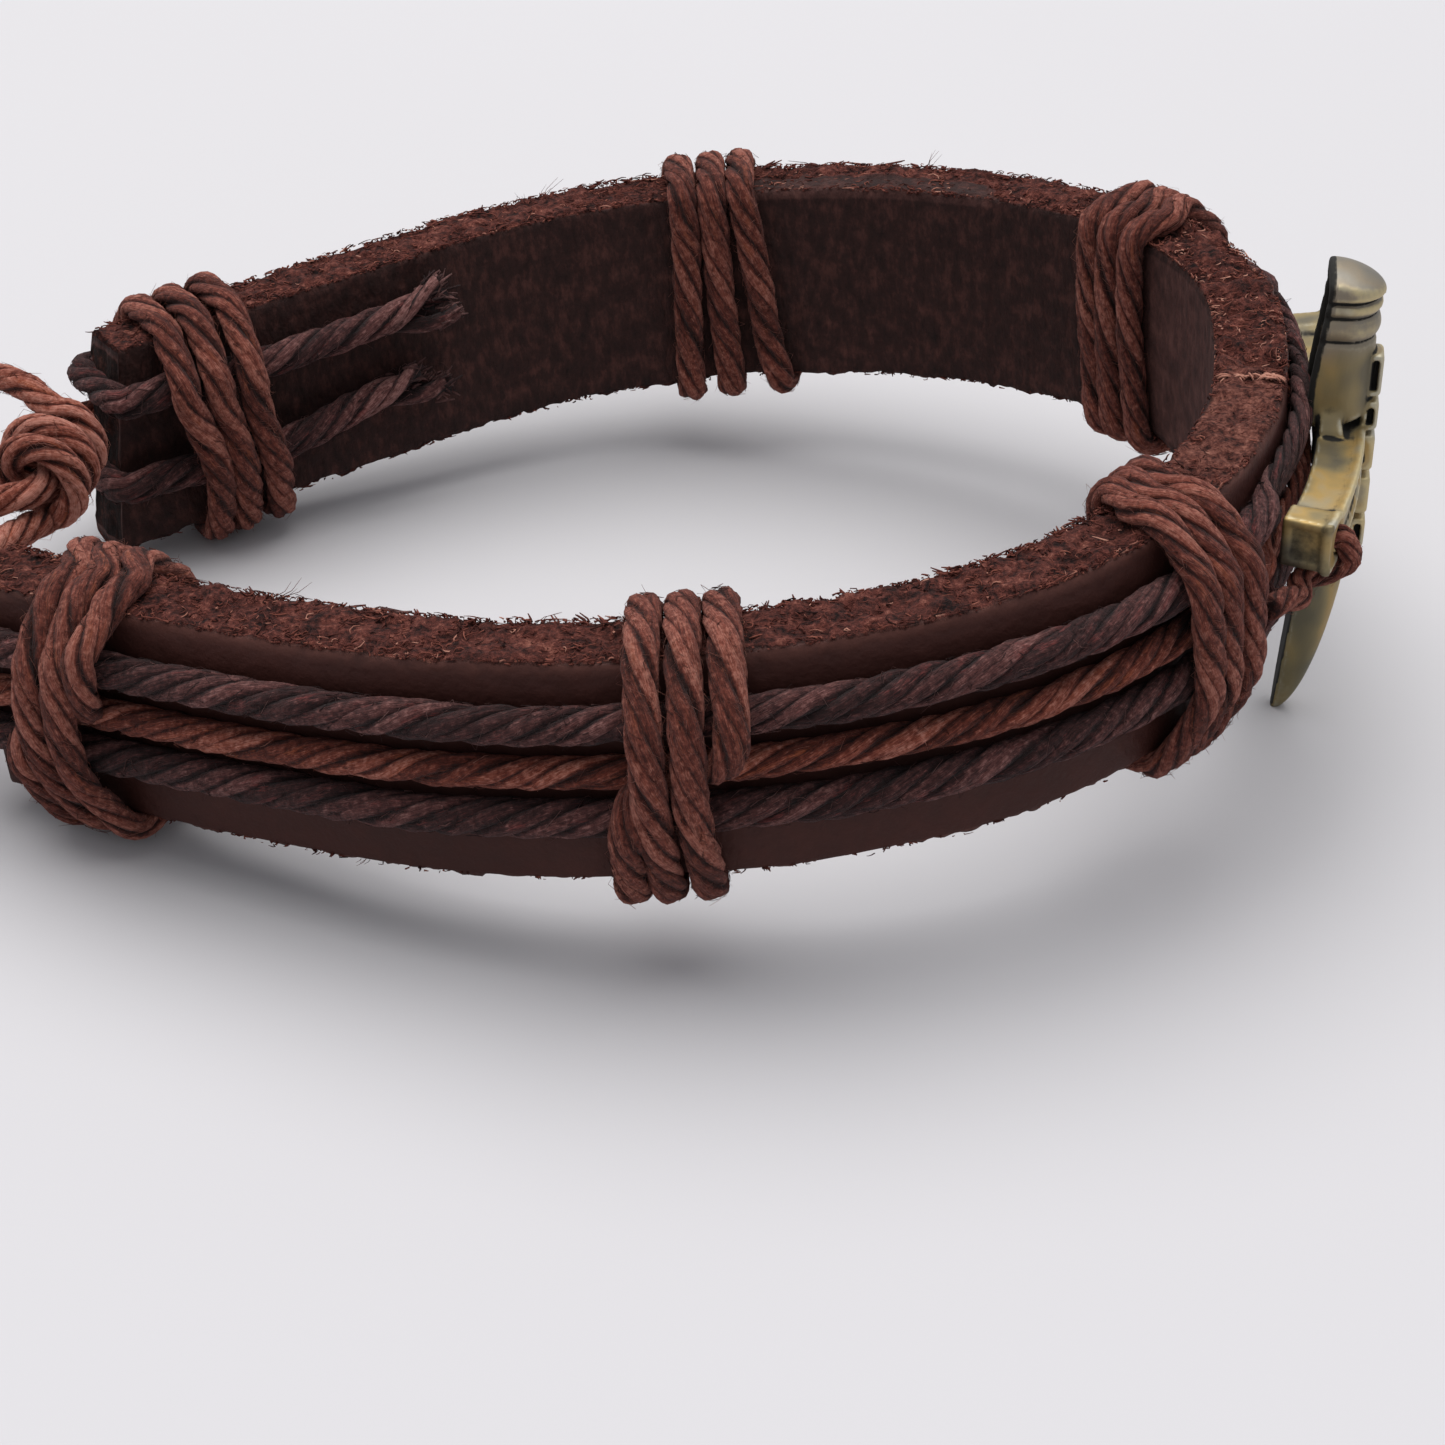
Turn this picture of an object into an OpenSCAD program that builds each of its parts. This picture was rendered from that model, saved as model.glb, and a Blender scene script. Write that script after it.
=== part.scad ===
// Leather bracelet: an open strip of thick leather with three cords along its outside,
// six corded bindings, a sliding-knot closure and a cast cross charm tied to its side.
// The ring is drawn with its axis along Z, then leaned to the slope at which it rests.

/* [Strap] */
// Width of the leather strip, edge to edge
strap_w = 12; // [11.5:0.5:12.5]
// Thickness of the leather
strap_t = 3.7; // [3.4:0.1:3.8]
// Small bevel along the cut edges of the leather
edge_ease = 0.35; // [0.2:0.05:0.5]
// How much shorter the back end of the strip is at its top edge than at its bottom edge
end_skew = 2.3; // [1.5:0.1:2.5]

/* [Cords] */
// Diameter of the two mauve cords
mauve_d = 2; // [1.8:0.1:2]
// Diameter of the orange-brown cord between them, whose ends tie the closure
middle_d = 1.75; // [1.5:0.05:1.75]
// Width of the cord that is wound round the strap, pulled a little flat
binding_w = 1.55; // [1.4:0.05:1.6]
// Thickness of that cord
binding_t = 1.3; // [1.1:0.05:1.4]
// Thickness of the three cords where the charm presses them flat
pressed_t = 0.9; // [0.8:0.05:0.95]
// Width of the three cords where the charm presses them flat
pressed_w = 2.3; // [2:0.1:2.4]
// Length of the mauve cords' ends along the inside of the strap
tuck_len = 20; // [14:1:20]
// Height of the upper mauve cord above the strap's lower edge
upper_z = 9.3; // [9.2:0.1:9.5]
// Height of the middle cord above the strap's lower edge
middle_z = 6.8; // [6.7:0.1:6.9]
// Height of the lower mauve cord above the strap's lower edge
lower_z = 4.4; // [4:0.1:4.5]

/* [Charm] */
// Width of the upright bar of the cross
upright_w = 3.2; // [3:0.1:3.4]
// Depth of the upright bar, from its flat back to its round front
upright_depth = 2.5; // [2.4:0.05:2.6]
// Length of the crossbar
crossbar_len = 22.8; // [22:0.2:23.2]
// Height of the crossbar
crossbar_h = 2.8; // [2.6:0.1:3]
// Thickness of the crossbar
crossbar_t = 2.3; // [2.2:0.1:2.5]
// Diameter of the tie cords
tie_d = 1.4; // [1.2:0.1:1.5]

/* [Rest] */
// Slope of the ring where it leans on the charm's tip
rest_slope = 6.6; // [6:0.1:7]
// Smaller slope across, because the two end bindings aren't level with each other
rest_roll = -0.8; // [-1:0.1:0]

/* [Hidden] */
$fn = 48;
leather = "#37201c";
mauve = "#50403e";
orange_brown = "#7d4b3c";
bronze = "#968764";
gap = 0.08;
far = 60;
cord_sides = 8;
tuck_steps = 4;
fold_rings = 6;
floor_shift = [6.842, -23.643, 5.316];

// The middle line of the strap, seen from above: tangent arcs that turn left, from the
// front end, along the front, round the right and back to the back end
RADIUS = 0;
ANGLE = 1;
bends = [
    [180, 6.3],
    [41, 37],
    [25, 66],
    [62, 6],
    [19, 57],
    [33, 66],
    [300, 4.4],
];
strap_start = [-34.6, 11.9];
start_heading = -32.15;

// The bindings: name; place of the middle turn and distance from turn to turn, at the
// strap's top edge and at its lower edge; the side where the cord steps on to its next
// turn, -1 inside and 1 outside; and 1 where the tucked ends of the mauve cords lie under it
NAME = 0;
TOP_AT = 1;
TOP_PITCH = 2;
FOOT_AT = 3;
FOOT_PITCH = 4;
STEP_SIDE = 5;
OVER_TUCKS = 6;
bindings = [
    ["front_left", 8.2, 1.7, 4.8, 1.8, -1, 1],
    ["front_middle", 36.3, 1.8, 34.6, 1.75, -1, 0],
    ["front_right", 59.8, 1.75, 59.4, 1.7, -1, 0],
    ["back_right", 95, 1.75, 94.6, 1.85, 1, 0],
    ["back_middle", 122.1, 1.75, 121.6, 2.7, 1, 0],
    ["back_left", 155, 2, 153.9, 1.9, 1, 1],
];
turns = 3;
pressed_from = 65.5;
pressed_to = 88.5;

// Distances outwards from the strap's middle line
face = strap_t / 2;
mauve_n = face + gap + mauve_d / 2;
middle_n = face + gap + middle_d / 2;
pressed_n = face + gap + pressed_t / 2;
side_n = face + gap + binding_t / 2;
over_n = face + mauve_d + 2 * gap + binding_t / 2;
above = gap + binding_t / 2;

// Plan geometry of the strap's middle line
function arc_len(i) = bends[i][RADIUS] * bends[i][ANGLE] * PI / 180;
function len_to(i) = i == 0 ? 0 : len_to(i - 1) + arc_len(i - 1);
function heading_at_arc(i) = i == 0 ? start_heading : heading_at_arc(i - 1) + bends[i - 1][ANGLE];
function left_of(heading) = [-sin(heading), cos(heading)];
function ahead_of(heading) = [cos(heading), sin(heading)];
function arc_centre(i) = arc_start(i) + bends[i][RADIUS] * left_of(heading_at_arc(i));
function arc_start(i) = i == 0 ? strap_start
    : arc_centre(i - 1) - bends[i - 1][RADIUS] * left_of(heading_at_arc(i));
strap_len = len_to(len(bends));
function arc_with(s, i = 0) = i == len(bends) - 1 || s < len_to(i + 1) ? i : arc_with(s, i + 1);
function turned(s, i) = (s - len_to(i)) / bends[i][RADIUS] * 180 / PI;
function heading(s) = heading_at_arc(arc_with(s)) + turned(s, arc_with(s));
// Point at length s, n outwards from the middle line
function spot(s, n) = let (i = arc_with(s)) arc_centre(i) - (bends[i][RADIUS] + n) * left_of(heading(s));
function back_end(z) = strap_len - end_skew * z / strap_w;
// Places along the strap where its skin and the cords' have a ring
ring_turn = 6;
ring_step = 6;
stations = concat([0], [for (i = [0:len(bends) - 1])
    let (steps = max(ceil(bends[i][ANGLE] / ring_turn), ceil(arc_len(i) / ring_step)))
    for (k = [1:steps]) len_to(i) + arc_len(i) * k / steps]);

// Swept tubes: one closed skin through rings of points
function unit(v) = v / norm(v);
function slope_at(points, i) = unit(points[min(i + 1, len(points) - 1)] - points[max(i - 1, 0)]);
function carried(u, t) = unit(u - t * (t * u));
function first_side(t) = carried(abs(t.z) > 0.7 ? [1, 0, 0] : [0, 0, 1], t);
function reversed(list) = [for (i = [len(list) - 1:-1:0]) list[i]];
// One direction square to the cord at each point, carried both ways from the anchor's
function tube_sides(points, anchor) = let (
    first = first_side(slope_at(points, anchor)),
    onward = [for (i = anchor, u = first; i < len(points);
        i = i + 1, u = i < len(points) ? carried(u, slope_at(points, i)) : u) u],
    backward = [for (i = anchor, u = first; i >= 0;
        i = i - 1, u = i >= 0 ? carried(u, slope_at(points, i)) : u) if (i < anchor) u])
    concat(reversed(backward), onward);

module skin(rings) {
    sides = len(rings[0]);
    last = len(rings) - 1;
    walls = [for (i = [0:last - 1]) for (k = [0:sides - 1])
        let (p = i * sides + k, q = i * sides + (k + 1) % sides)
        [p, p + sides, q + sides, q]];
    caps = [[for (k = [0:sides - 1]) k], [for (k = [sides - 1:-1:0]) last * sides + k]];
    polyhedron([for (ring = rings) each ring], concat(walls, caps), convexity = 8);
}

// A cord through the points: sizes gives each point's width and thickness, and sides the
// direction in which its width is measured
module cord(points, sizes, sides) {
    skin([for (i = [0:len(points) - 1])
        let (t = slope_at(points, i), u = carried(sides[i], t), v = cross(t, u))
        [for (k = [0:cord_sides - 1])
            let (a = 360 * k / cord_sides)
            points[i] + u * cos(a) * sizes[i].x / 2 + v * sin(a) * sizes[i].y / 2]]);
}

// Leans the ring to its resting slope and sets it on the floor
module at_rest() {
    translate(floor_shift)
        rotate([rest_roll, -rest_slope, 0])
            children();
}

// The leather strip; its back end is cut a little off square
strap_section = [
    [-face, strap_w - edge_ease], [edge_ease - face, strap_w],
    [face - edge_ease, strap_w], [face, strap_w - edge_ease],
    [face, edge_ease], [face - edge_ease, 0], [edge_ease - face, 0], [-face, edge_ease]];

module strap() {
    color(leather)
        at_rest()
            skin([for (s = stations)
                [for (p = strap_section) concat(spot(min(s, back_end(p.y)), p.x), p.y)]]);
}

// The running cords
function is_pressed(s) = s > pressed_from && s < pressed_to;
function outside_point(s, n, z) = concat(spot(s, is_pressed(s) ? pressed_n : n), z);
function outside_size(s, d) = is_pressed(s) ? [pressed_w, pressed_t] : [d, d];
function before(s) = [for (station = stations) if (station < s - 1) station];

// The turn of a mauve cord round one end of the strip, at length s; way is 1 where the
// cord turns from the outside to the inside, and -1 where it turns outwards
fold_r = gap + mauve_d / 2;
function fold_point(s, z, way, corner_n, angle) =
    let (ahead = way * fold_r * sin(angle), out = fold_r * cos(angle))
    concat(spot(s, 0) + ahead_of(heading(s)) * ahead - left_of(heading(s)) * (corner_n + out), z);
function fold(s, z, way) = [
    for (angle = way == 1 ? [0, 45, 90] : [180, 135, 90])
        fold_point(s, z, way, way * face, angle),
    for (angle = way == 1 ? [90, 135, 180] : [90, 45, 0])
        fold_point(s, z, way, -way * face, angle)];

module mauve_cord(z) {
    last = back_end(z);
    outside = [for (s = before(last)) if (s > 1) s];
    tucked = [for (k = [1:tuck_steps]) k * tuck_len / tuck_steps];
    front_tuck = [for (k = [tuck_steps - 1:-1:0]) concat(spot(tucked[k], -mauve_n), z)];
    back_tuck = [for (t = tucked) concat(spot(last - t, -mauve_n), z)];
    route = concat(front_tuck, fold(0, z, -1), [for (s = outside) outside_point(s, mauve_n, z)],
        fold(last, z, 1), back_tuck);
    end_sizes = [for (k = [1:tuck_steps + fold_rings]) [mauve_d, mauve_d]];
    color(mauve)
        at_rest()
            cord(route, concat(end_sizes, [for (s = outside) outside_size(s, mauve_d)], end_sizes),
                [for (p = route) [0, 0, 1]]);
}

module cord_upper() {
    mauve_cord(upper_z);
}

module cord_lower() {
    mauve_cord(lower_z);
}

// The middle cord runs on past both ends of the strip into the closure: each end goes
// through the knot beside it and is wound round the other end in the far knot
back_out = concat(spot(strap_len, middle_n) + ahead_of(heading(strap_len)) * 0.6, middle_z);
front_out = concat(spot(0, middle_n) - ahead_of(heading(0)) * 0.8, middle_z);
back_lead = [back_out, [-35.9, 35.3, 6.9], [-35.3, 33.9, 6.9], [-34.9, 32.3, 7.3], [-34.3, 31, 8.1]];
front_lead = [front_out, [-37.6, 10.7, 6.9], [-38.6, 12, 7.1], [-38.8, 13.2, 7.4]];
knot_pitch = middle_d + 1.5 * gap;
function knot(from, way, count) = [from, from + unit(way) * count * knot_pitch];
back_count = 2.5;
front_count = 3;
back_knot = knot([-33.8, 29.8, 9.2], [-0.7, -4.6, -0.5], back_count);
front_knot = knot([-38.5, 14.3, 7.6], [0.9, 4.8, 0.2], front_count);
back_run = [-38.6, 23.1, 8.9];
front_run = [-36.3, 22.6, 7.2];
back_tail = [[-35.4, 31, 12], [-37.2, 32.2, 12.1], [-40.2, 33.8, 11.9], [-43.6, 35.6, 11.4]];
front_tail = [[-41, 13, 9.4], [-42.8, 11.8, 9.6], [-45, 10.4, 9.2], [-47.4, 9, 8.4]];
coil_r = middle_d + 2.5 * gap;

// A coil round the line from a to b, which starts beside a, in the direction of side. Hand
// is 1 for a right-handed coil and -1 for a left-handed one
function coil(ends, side, count, hand) = let (
    a = ends[0],
    b = ends[1],
    axis = unit(b - a),
    u = carried(side, axis),
    v = cross(axis, u) * hand,
    steps = 10 * count)
    [for (k = [0:steps]) let (angle = 36 * k)
        a + (b - a) * k / steps + (u * cos(angle) + v * sin(angle)) * coil_r];

module cord_middle() {
    along = [for (s = before(back_end(middle_z))) s];
    back_part = concat(back_lead, back_knot, [back_run],
        coil(reversed(front_knot), [-1, 0, 0.6], front_count, 1), front_tail);
    front_part = concat(front_lead, front_knot, [front_run],
        coil(reversed(back_knot), [0, 0, -1], back_count, -1), back_tail);
    route = concat(reversed(front_part), [for (s = along) outside_point(s, middle_n, middle_z)], back_part);
    round = [middle_d, middle_d];
    color(orange_brown)
        at_rest()
            cord(route, concat([for (p = front_part) round],
                [for (s = along) outside_size(s, middle_d)], [for (p = back_part) round]),
                tube_sides(route, len(front_part)));
}

// The bindings: one cord wound three times round the strap and the cords on it. Its turns
// are even along the plain side, and it steps on to the next turn on the other side
cord_top = upper_z + 0.8;
cord_foot = lower_z - 0.8;
function side_profile(way, bulges) = let (
    top = [way * side_n, strap_w + above],
    low = [way * side_n, -above])
    bulges
        ? [top, [way * over_n, cord_top], [way * over_n, strap_w / 2], [way * over_n, cord_foot], low]
        : [top, [way * side_n, strap_w / 2], low];
function loop_corners(row) = let (step = row[STEP_SIDE])
    concat(side_profile(-step, step == -1 || row[OVER_TUCKS] == 1),
        reversed(side_profile(step, step == 1 || row[OVER_TUCKS] == 1)));

// The points of one rounded corner b between a and c; way is 1 where the loop runs clockwise
function corner_points(a, b, c, radius, way) = let (
    into = unit(b - a),
    turn = acos(min(1, into * unit(c - b))),
    cut = radius * tan(turn / 2),
    side = unit([into.y, -into.x]) * way,
    centre = b - into * cut + side * radius,
    steps = turn < 1 ? 0 : max(1, round(turn / 40)))
    [for (k = [0:steps]) let (at = steps == 0 ? 0 : turn * k / steps)
        centre - side * radius * cos(at) + into * radius * sin(at)];

function loop_outline(corners, way) = let (count = len(corners))
    [for (i = [0:count - 1]) each corner_points(
        corners[(i + count - 1) % count], corners[i], corners[(i + 1) % count], above, way)];

// Length along the strap, where a turn's offset is measured at distance n outwards
function turn_place(place, pitch, turn, n) = let (r = bends[arc_with(place)][RADIUS])
    place + (turn - (turns - 1) / 2) * pitch * r / (r + n);

function binding_s(row, p, turn) = let (
    stepped = p.x * row[STEP_SIDE] > 0 ? 1 : 0,
    top = turn_place(row[TOP_AT], row[TOP_PITCH], turn + stepped, p.x),
    low = turn_place(row[FOOT_AT], row[FOOT_PITCH], turn, p.x),
    share = max(0, min(1, p.y / strap_w)))
    low + (top - low) * share;

module binding(i) {
    row = bindings[i];
    outline = loop_outline(loop_corners(row), -row[STEP_SIDE]);
    count = len(outline);
    upper_half = [for (p = outline) if (p.x * row[STEP_SIDE] > 0 && p.y > strap_w / 2 - 1) p];
    steps = [for (k = [-len(upper_half):turns * count - len(upper_half)])
        let (turn = floor(k / count), p = outline[k - turn * count])
        [binding_s(row, p, turn), p.x, p.y]];
    color(orange_brown)
        at_rest()
            cord([for (q = steps) concat(spot(q[0], q[1]), q[2])],
                [for (q = steps) [binding_w, binding_t]],
                [for (q = steps) concat(ahead_of(heading(q[0])), 0)]);
}

module binding_front_left() {
    binding(0);
}

module binding_front_middle() {
    binding(1);
}

module binding_front_right() {
    binding(2);
}

module binding_back_right() {
    binding(3);
}

module binding_back_middle() {
    binding(4);
}

module binding_back_left() {
    binding(5);
}

// The cross charm, in its own frame: X out of its flat back, Y along the strap, Z up,
// with the origin in the middle of the crossbar's back
charm_place = 76;
charm_n = 3.22;
charm_z = 7.6;
charm_lean = 4.2;
module at_charm() {
    at_rest()
        translate(concat(spot(charm_place, charm_n), charm_z))
            rotate([0, charm_lean, heading(charm_place) - 90])
                children();
}

// A D-shaped section of the upright, flat at the back, drawn smaller by the inset
module upright_section(inset = 0) {
    r = upright_w / 2 - inset / 2;
    front = upright_depth - inset;
    intersection() {
        union() {
            translate([front - r, 0])
                circle(r = r);
            translate([0, -r])
                square([front - r, 2 * r]);
        }
        translate([0, -far / 2])
            square([far, far]);
    }
}

module upright_slice(low, high, inset = 0) {
    translate([0, 0, low])
        linear_extrude(high - low)
            upright_section(inset);
}

// The shaft, and the upper arm's rings and grooves: lower edge, upper edge and inset of
// each slice. The shaft reaches down to where the horn turns
horn_turn_z = -5.2;
LOW = 0;
HIGH = 1;
INSET = 2;
upper_slices = [
    [horn_turn_z, 6, 0],
    [6, 6.25, 0.25],
    [6.25, 7.3, -0.4],
    [7.3, 7.55, 0.1],
    [7.55, 8.1, -0.4],
    [8.1, 8.35, 0.1],
];
cap_low = 8.35;
cap_high = 9.6;
cap_inset = -0.5;
cap_ball_r = 4.2;

module upper_arm() {
    for (row = upper_slices)
        upright_slice(row[LOW], row[HIGH], row[INSET]);
    intersection() {
        upright_slice(cap_low, cap_high, cap_inset);
        translate([0, 0, cap_high - cap_ball_r])
            sphere(r = cap_ball_r, $fn = 96);
    }
}

// The lower arm is a horn, turned in a little from the shaft: its round front bends back
// to meet the flat back at the tip
horn_turn = 4.5;
horn_bend_r = 13.6;
horn_bend_z = -8.5;
horn_foot_z = -16.7;
horn_foot_half_w = 0.35;
horn_inset = 0.12;
horn_depth = upright_depth - horn_inset;
module horn_side_profile() {
    polygon([[0, horn_turn_z + 0.4], [0, horn_foot_z], [far, horn_foot_z], [far, horn_turn_z + 0.4]]);
}

module horn_front_profile() {
    half_w = upright_w / 2;
    polygon([
        [-half_w - 0.3, horn_turn_z + 0.4], [-half_w, -8.5], [-half_w + 0.25, -12],
        [-half_w + 0.7, -14.6], [-horn_foot_half_w, horn_foot_z],
        [horn_foot_half_w, horn_foot_z], [half_w - 0.7, -14.6], [half_w - 0.25, -12],
        [half_w, -8.5], [half_w + 0.3, horn_turn_z + 0.4]]);
}

module lower_arm() {
    translate([0, 0, horn_turn_z])
        rotate([0, horn_turn, 0])
            translate([0, 0, -horn_turn_z])
                intersection() {
                    union() {
                        upright_slice(horn_bend_z, horn_turn_z + 0.4, horn_inset);
                        translate([horn_depth - horn_bend_r, 0, horn_bend_z])
                            rotate([90, 0, 0])
                                rotate_extrude(angle = -52, $fn = 144)
                                    translate([horn_bend_r - horn_depth, 0])
                                        upright_section(horn_inset);
                    }
                    rotate([90, 0, 0])
                        translate([0, 0, -far / 2])
                            linear_extrude(far)
                                horn_side_profile();
                    rotate([90, 0, 90])
                        translate([0, 0, -far / 2])
                            linear_extrude(far)
                                horn_front_profile();
                }
}

// The crossbar bends with the strap, and has a raised rim along its front
crossbar_bend_r = 38;
rim_t = 0.5;
rim_rise = 0.25;
module crossbar() {
    half_angle = crossbar_len / 2 / crossbar_bend_r * 180 / PI;
    translate([-crossbar_bend_r, 0, 0])
        rotate([0, 0, -half_angle])
            rotate_extrude(angle = 2 * half_angle, $fn = 144)
                translate([crossbar_bend_r, 0]) {
                    translate([0, -crossbar_h / 2])
                        square([crossbar_t, crossbar_h]);
                    translate([crossbar_t - rim_t, -crossbar_h / 2 - rim_rise])
                        square([rim_t, crossbar_h + 2 * rim_rise]);
                }
}

// Raised ornament down the front: lower edge, upper edge, and 1 where light shows behind it
SLOTTED = 2;
relief = [
    [2.8, 5.2, 1],
    [0.9, 2.6, 1],
    [-1.4, 0.7, 0],
    [-3.9, -1.7, 0],
    [-5.9, -4.1, 1],
];
relief_w = 1.7;
relief_rise = 0.42;
slot_end = 0.45;
slot_depth = 0.22;

module relief_bar(low, high, slotted) {
    root = upright_depth - 0.6;
    difference() {
        translate([root, -relief_w / 2, low])
            cube([relief_rise + 0.6, relief_w, high - low]);
        if (slotted == 1)
            translate([upright_depth + 0.05, -relief_w, low + slot_end])
                cube([slot_depth, 2 * relief_w, high - low - 2 * slot_end]);
    }
}

// The cast back is hollow, and each arm has a hole for its tie
wall = 0.5;
hollow_depth = 1;
hole_y = 9.9;
hole_d = 1.7;
function crossbar_back(y) = sqrt(pow(crossbar_bend_r, 2) - y * y) - crossbar_bend_r;

module charm() {
    color(bronze)
        at_charm()
            difference() {
                union() {
                    upper_arm();
                    lower_arm();
                    crossbar();
                    for (row = relief)
                        relief_bar(row[LOW], row[HIGH], row[SLOTTED]);
                }
                translate([-1, wall - upright_w / 2, -8])
                    cube([1 + hollow_depth, upright_w - 2 * wall, 8 + cap_low + 1]);
                for (y = [-hole_y, hole_y])
                    translate([crossbar_back(hole_y) - 1, y, 0])
                        rotate([0, 90, 0])
                            cylinder(d = hole_d, h = crossbar_t + 2, $fn = 32);
            }
}

// The ties: from a binding, under the arm, up its front and back through the hole
module tie_cord(points) {
    cord(points, [for (p = points) [tie_d, tie_d]], tube_sides(points, 0));
}

module charm_tie(y, side, foot) {
    back_x = crossbar_back(hole_y);
    front_x = back_x + crossbar_t;
    low = -crossbar_h / 2 - rim_rise - tie_d / 2 - gap;
    color(orange_brown)
        at_charm()
            tie_cord(concat(foot, [
                [back_x + 0.7, y + side * 0.9, low - 0.2],
                [back_x + 1.3, y + side * 0.4, low - 0.2],
                [front_x + 0.1, y, low],
                [front_x + tie_d / 2 + 0.1, y, low + 0.5],
                [front_x + tie_d / 2 + 0.15, y, -1],
                [front_x + tie_d / 2 - 0.15, y, -0.15],
                [front_x, y, 0],
                [back_x + 0.1, y, 0]]));
}

module charm_tie_front() {
    charm_tie(-hole_y, -1, [[-2.1, -14.5, -1.5], [-1.3, -13, -1.8], [-0.65, -11.8, -2.4]]);
}

module charm_tie_back() {
    charm_tie(hole_y, 1, [[-3.3, 17.6, -1.6], [-2.3, 16.1, -1.7], [-1.3, 14.4, -1.9], [-0.6, 12.4, -2.5]]);
}

strap();
cord_upper();
cord_middle();
cord_lower();
binding_front_left();
binding_front_middle();
binding_front_right();
binding_back_right();
binding_back_middle();
binding_back_left();
charm();
charm_tie_front();
charm_tie_back();
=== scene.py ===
"""A leather bracelet: an open strip with three cords along its outside, six wound cord
bindings, a closure of two sliding knots, and a cast cross charm tied to its side.

The ring is worked out in millimetres with its axis along Z. Each piece is then leaned to
the slope at which the bracelet rests, and set down in metres."""
import itertools
import math

import bpy
import numpy as np
from mathutils import Matrix


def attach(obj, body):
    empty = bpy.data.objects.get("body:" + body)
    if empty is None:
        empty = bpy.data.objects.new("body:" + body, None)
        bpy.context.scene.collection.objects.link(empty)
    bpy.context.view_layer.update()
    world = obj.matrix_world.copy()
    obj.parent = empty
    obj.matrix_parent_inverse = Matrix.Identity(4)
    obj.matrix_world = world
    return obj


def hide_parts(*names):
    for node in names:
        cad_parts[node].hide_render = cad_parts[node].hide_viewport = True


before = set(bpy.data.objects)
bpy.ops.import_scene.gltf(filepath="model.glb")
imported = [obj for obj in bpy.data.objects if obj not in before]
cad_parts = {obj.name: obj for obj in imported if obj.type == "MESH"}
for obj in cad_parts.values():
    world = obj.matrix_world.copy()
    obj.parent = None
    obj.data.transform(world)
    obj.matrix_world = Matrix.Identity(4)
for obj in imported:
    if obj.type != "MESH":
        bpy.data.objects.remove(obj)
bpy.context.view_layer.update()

MM = 0.001


# Vectors and noise
def unit(v):
    return v / np.maximum(np.linalg.norm(v, axis=-1, keepdims=True), 1e-9)


def dot(a, b):
    return (a * b).sum(-1, keepdims=True)


def ease(t):
    t = np.clip(t, 0, 1)
    return t * t * (3 - 2 * t)


def bell(x, middle, width):
    return np.exp(-((x - middle) / width) ** 2)


def cloud(points, size, seed):
    """Smooth noise from -1 to 1 at each point, with lumps of about that size."""
    p = np.asarray(points, float) / size
    cell = np.floor(p).astype(np.int64)
    share = ease(p - cell)
    total = np.zeros(p.shape[:-1])
    for corner in itertools.product((0, 1), repeat=3):
        at = cell + np.array(corner)
        mixed = (at[..., 0] * 73856093) ^ (at[..., 1] * 19349663) ^ (at[..., 2] * 83492791)
        mixed = (mixed ^ (seed * 7919 + 104729)) & 0x7FFFFFFF
        mixed = (mixed * 1103515245 + 12345) & 0x7FFFFFFF
        mixed = ((mixed >> 7) * 1103515245 + 12345) & 0x7FFFFFFF
        weight = np.where(np.array(corner), share, 1 - share).prod(-1)
        total += weight * (mixed / 0x3FFFFFFF - 1)
    return total


def cloud_along(at, row, column, size, seed):
    """The same noise along a line, another line for each row and column."""
    return cloud(np.stack([at, 0 * at + row, 0 * at + column], -1), size, seed)


# The ring's plan, in millimetres and degrees. A bend is a radius and an angle
STRAP_W = 12.0
STRAP_T = 3.7
FACE = STRAP_T / 2
GAP = 0.08
END_SKEW = 2.3
BENDS = [(180, 6.3), (41, 37), (25, 66), (62, 6), (19, 57), (33, 66), (300, 4.4)]
START = np.array([-34.6, 11.9])
START_HEADING = -32.15
REST_SLOPE = 6.6
REST_ROLL = -0.8
REST_SHIFT = np.array([6.842, -23.643, 5.316])

# Places and stretches along the strip, from its front end: the front side reaches to
# FRONT_TO, and the back side starts at BACK_FROM
CHARM_AT = 76.0
BINDINGS_AT = [6.5, 35.5, 59.6, 94.8, 121.8, 154.5]
SUEDE = (63, 74.5)
PITTED = (74.5, 97)
NARROW_CUT = (103, 121)
PALE_INSIDE = (66, 94)
FRONT_TO = 62
BACK_FROM = 100
CORDS_PRESSED = (65.5, 88.5)
UPPER_CORD_RAISED = (62, 91)


def turning(axis, degrees):
    c, s = math.cos(math.radians(degrees)), math.sin(math.radians(degrees))
    a, b = [(1, 2), (2, 0), (0, 1)][axis]
    m = np.eye(3)
    m[a, a] = m[b, b] = c
    m[a, b], m[b, a] = -s, s
    return m


REST = turning(1, -REST_SLOPE) @ turning(0, REST_ROLL)


def set_down(points):
    """Ring millimetres to metres in the row's frame, with nothing below the floor."""
    placed = (np.asarray(points) @ REST.T + REST_SHIFT) * MM
    placed[..., 2] = np.maximum(placed[..., 2], 0)
    return placed


def left_of(heading):
    return np.stack([-np.sin(heading), np.cos(heading)], -1)


def ahead_of(heading):
    return np.stack([np.cos(heading), np.sin(heading)], -1)


def arcs():
    """Each bend as its start along the strip, centre, heading and radius."""
    found, at, point, heading = [], 0.0, START, math.radians(START_HEADING)
    for radius, angle in BENDS:
        centre = point + radius * left_of(heading)
        found.append((at, centre, heading, radius))
        heading += math.radians(angle)
        point = centre - radius * left_of(heading)
        at += radius * math.radians(angle)
    return found, at


ARCS, STRAP_LEN = arcs()
ARC_AT = np.array([a[0] for a in ARCS])
ARC_CENTRE = np.array([a[1] for a in ARCS])
ARC_HEADING = np.array([a[2] for a in ARCS])
ARC_RADIUS = np.array([a[3] for a in ARCS], float)


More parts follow.
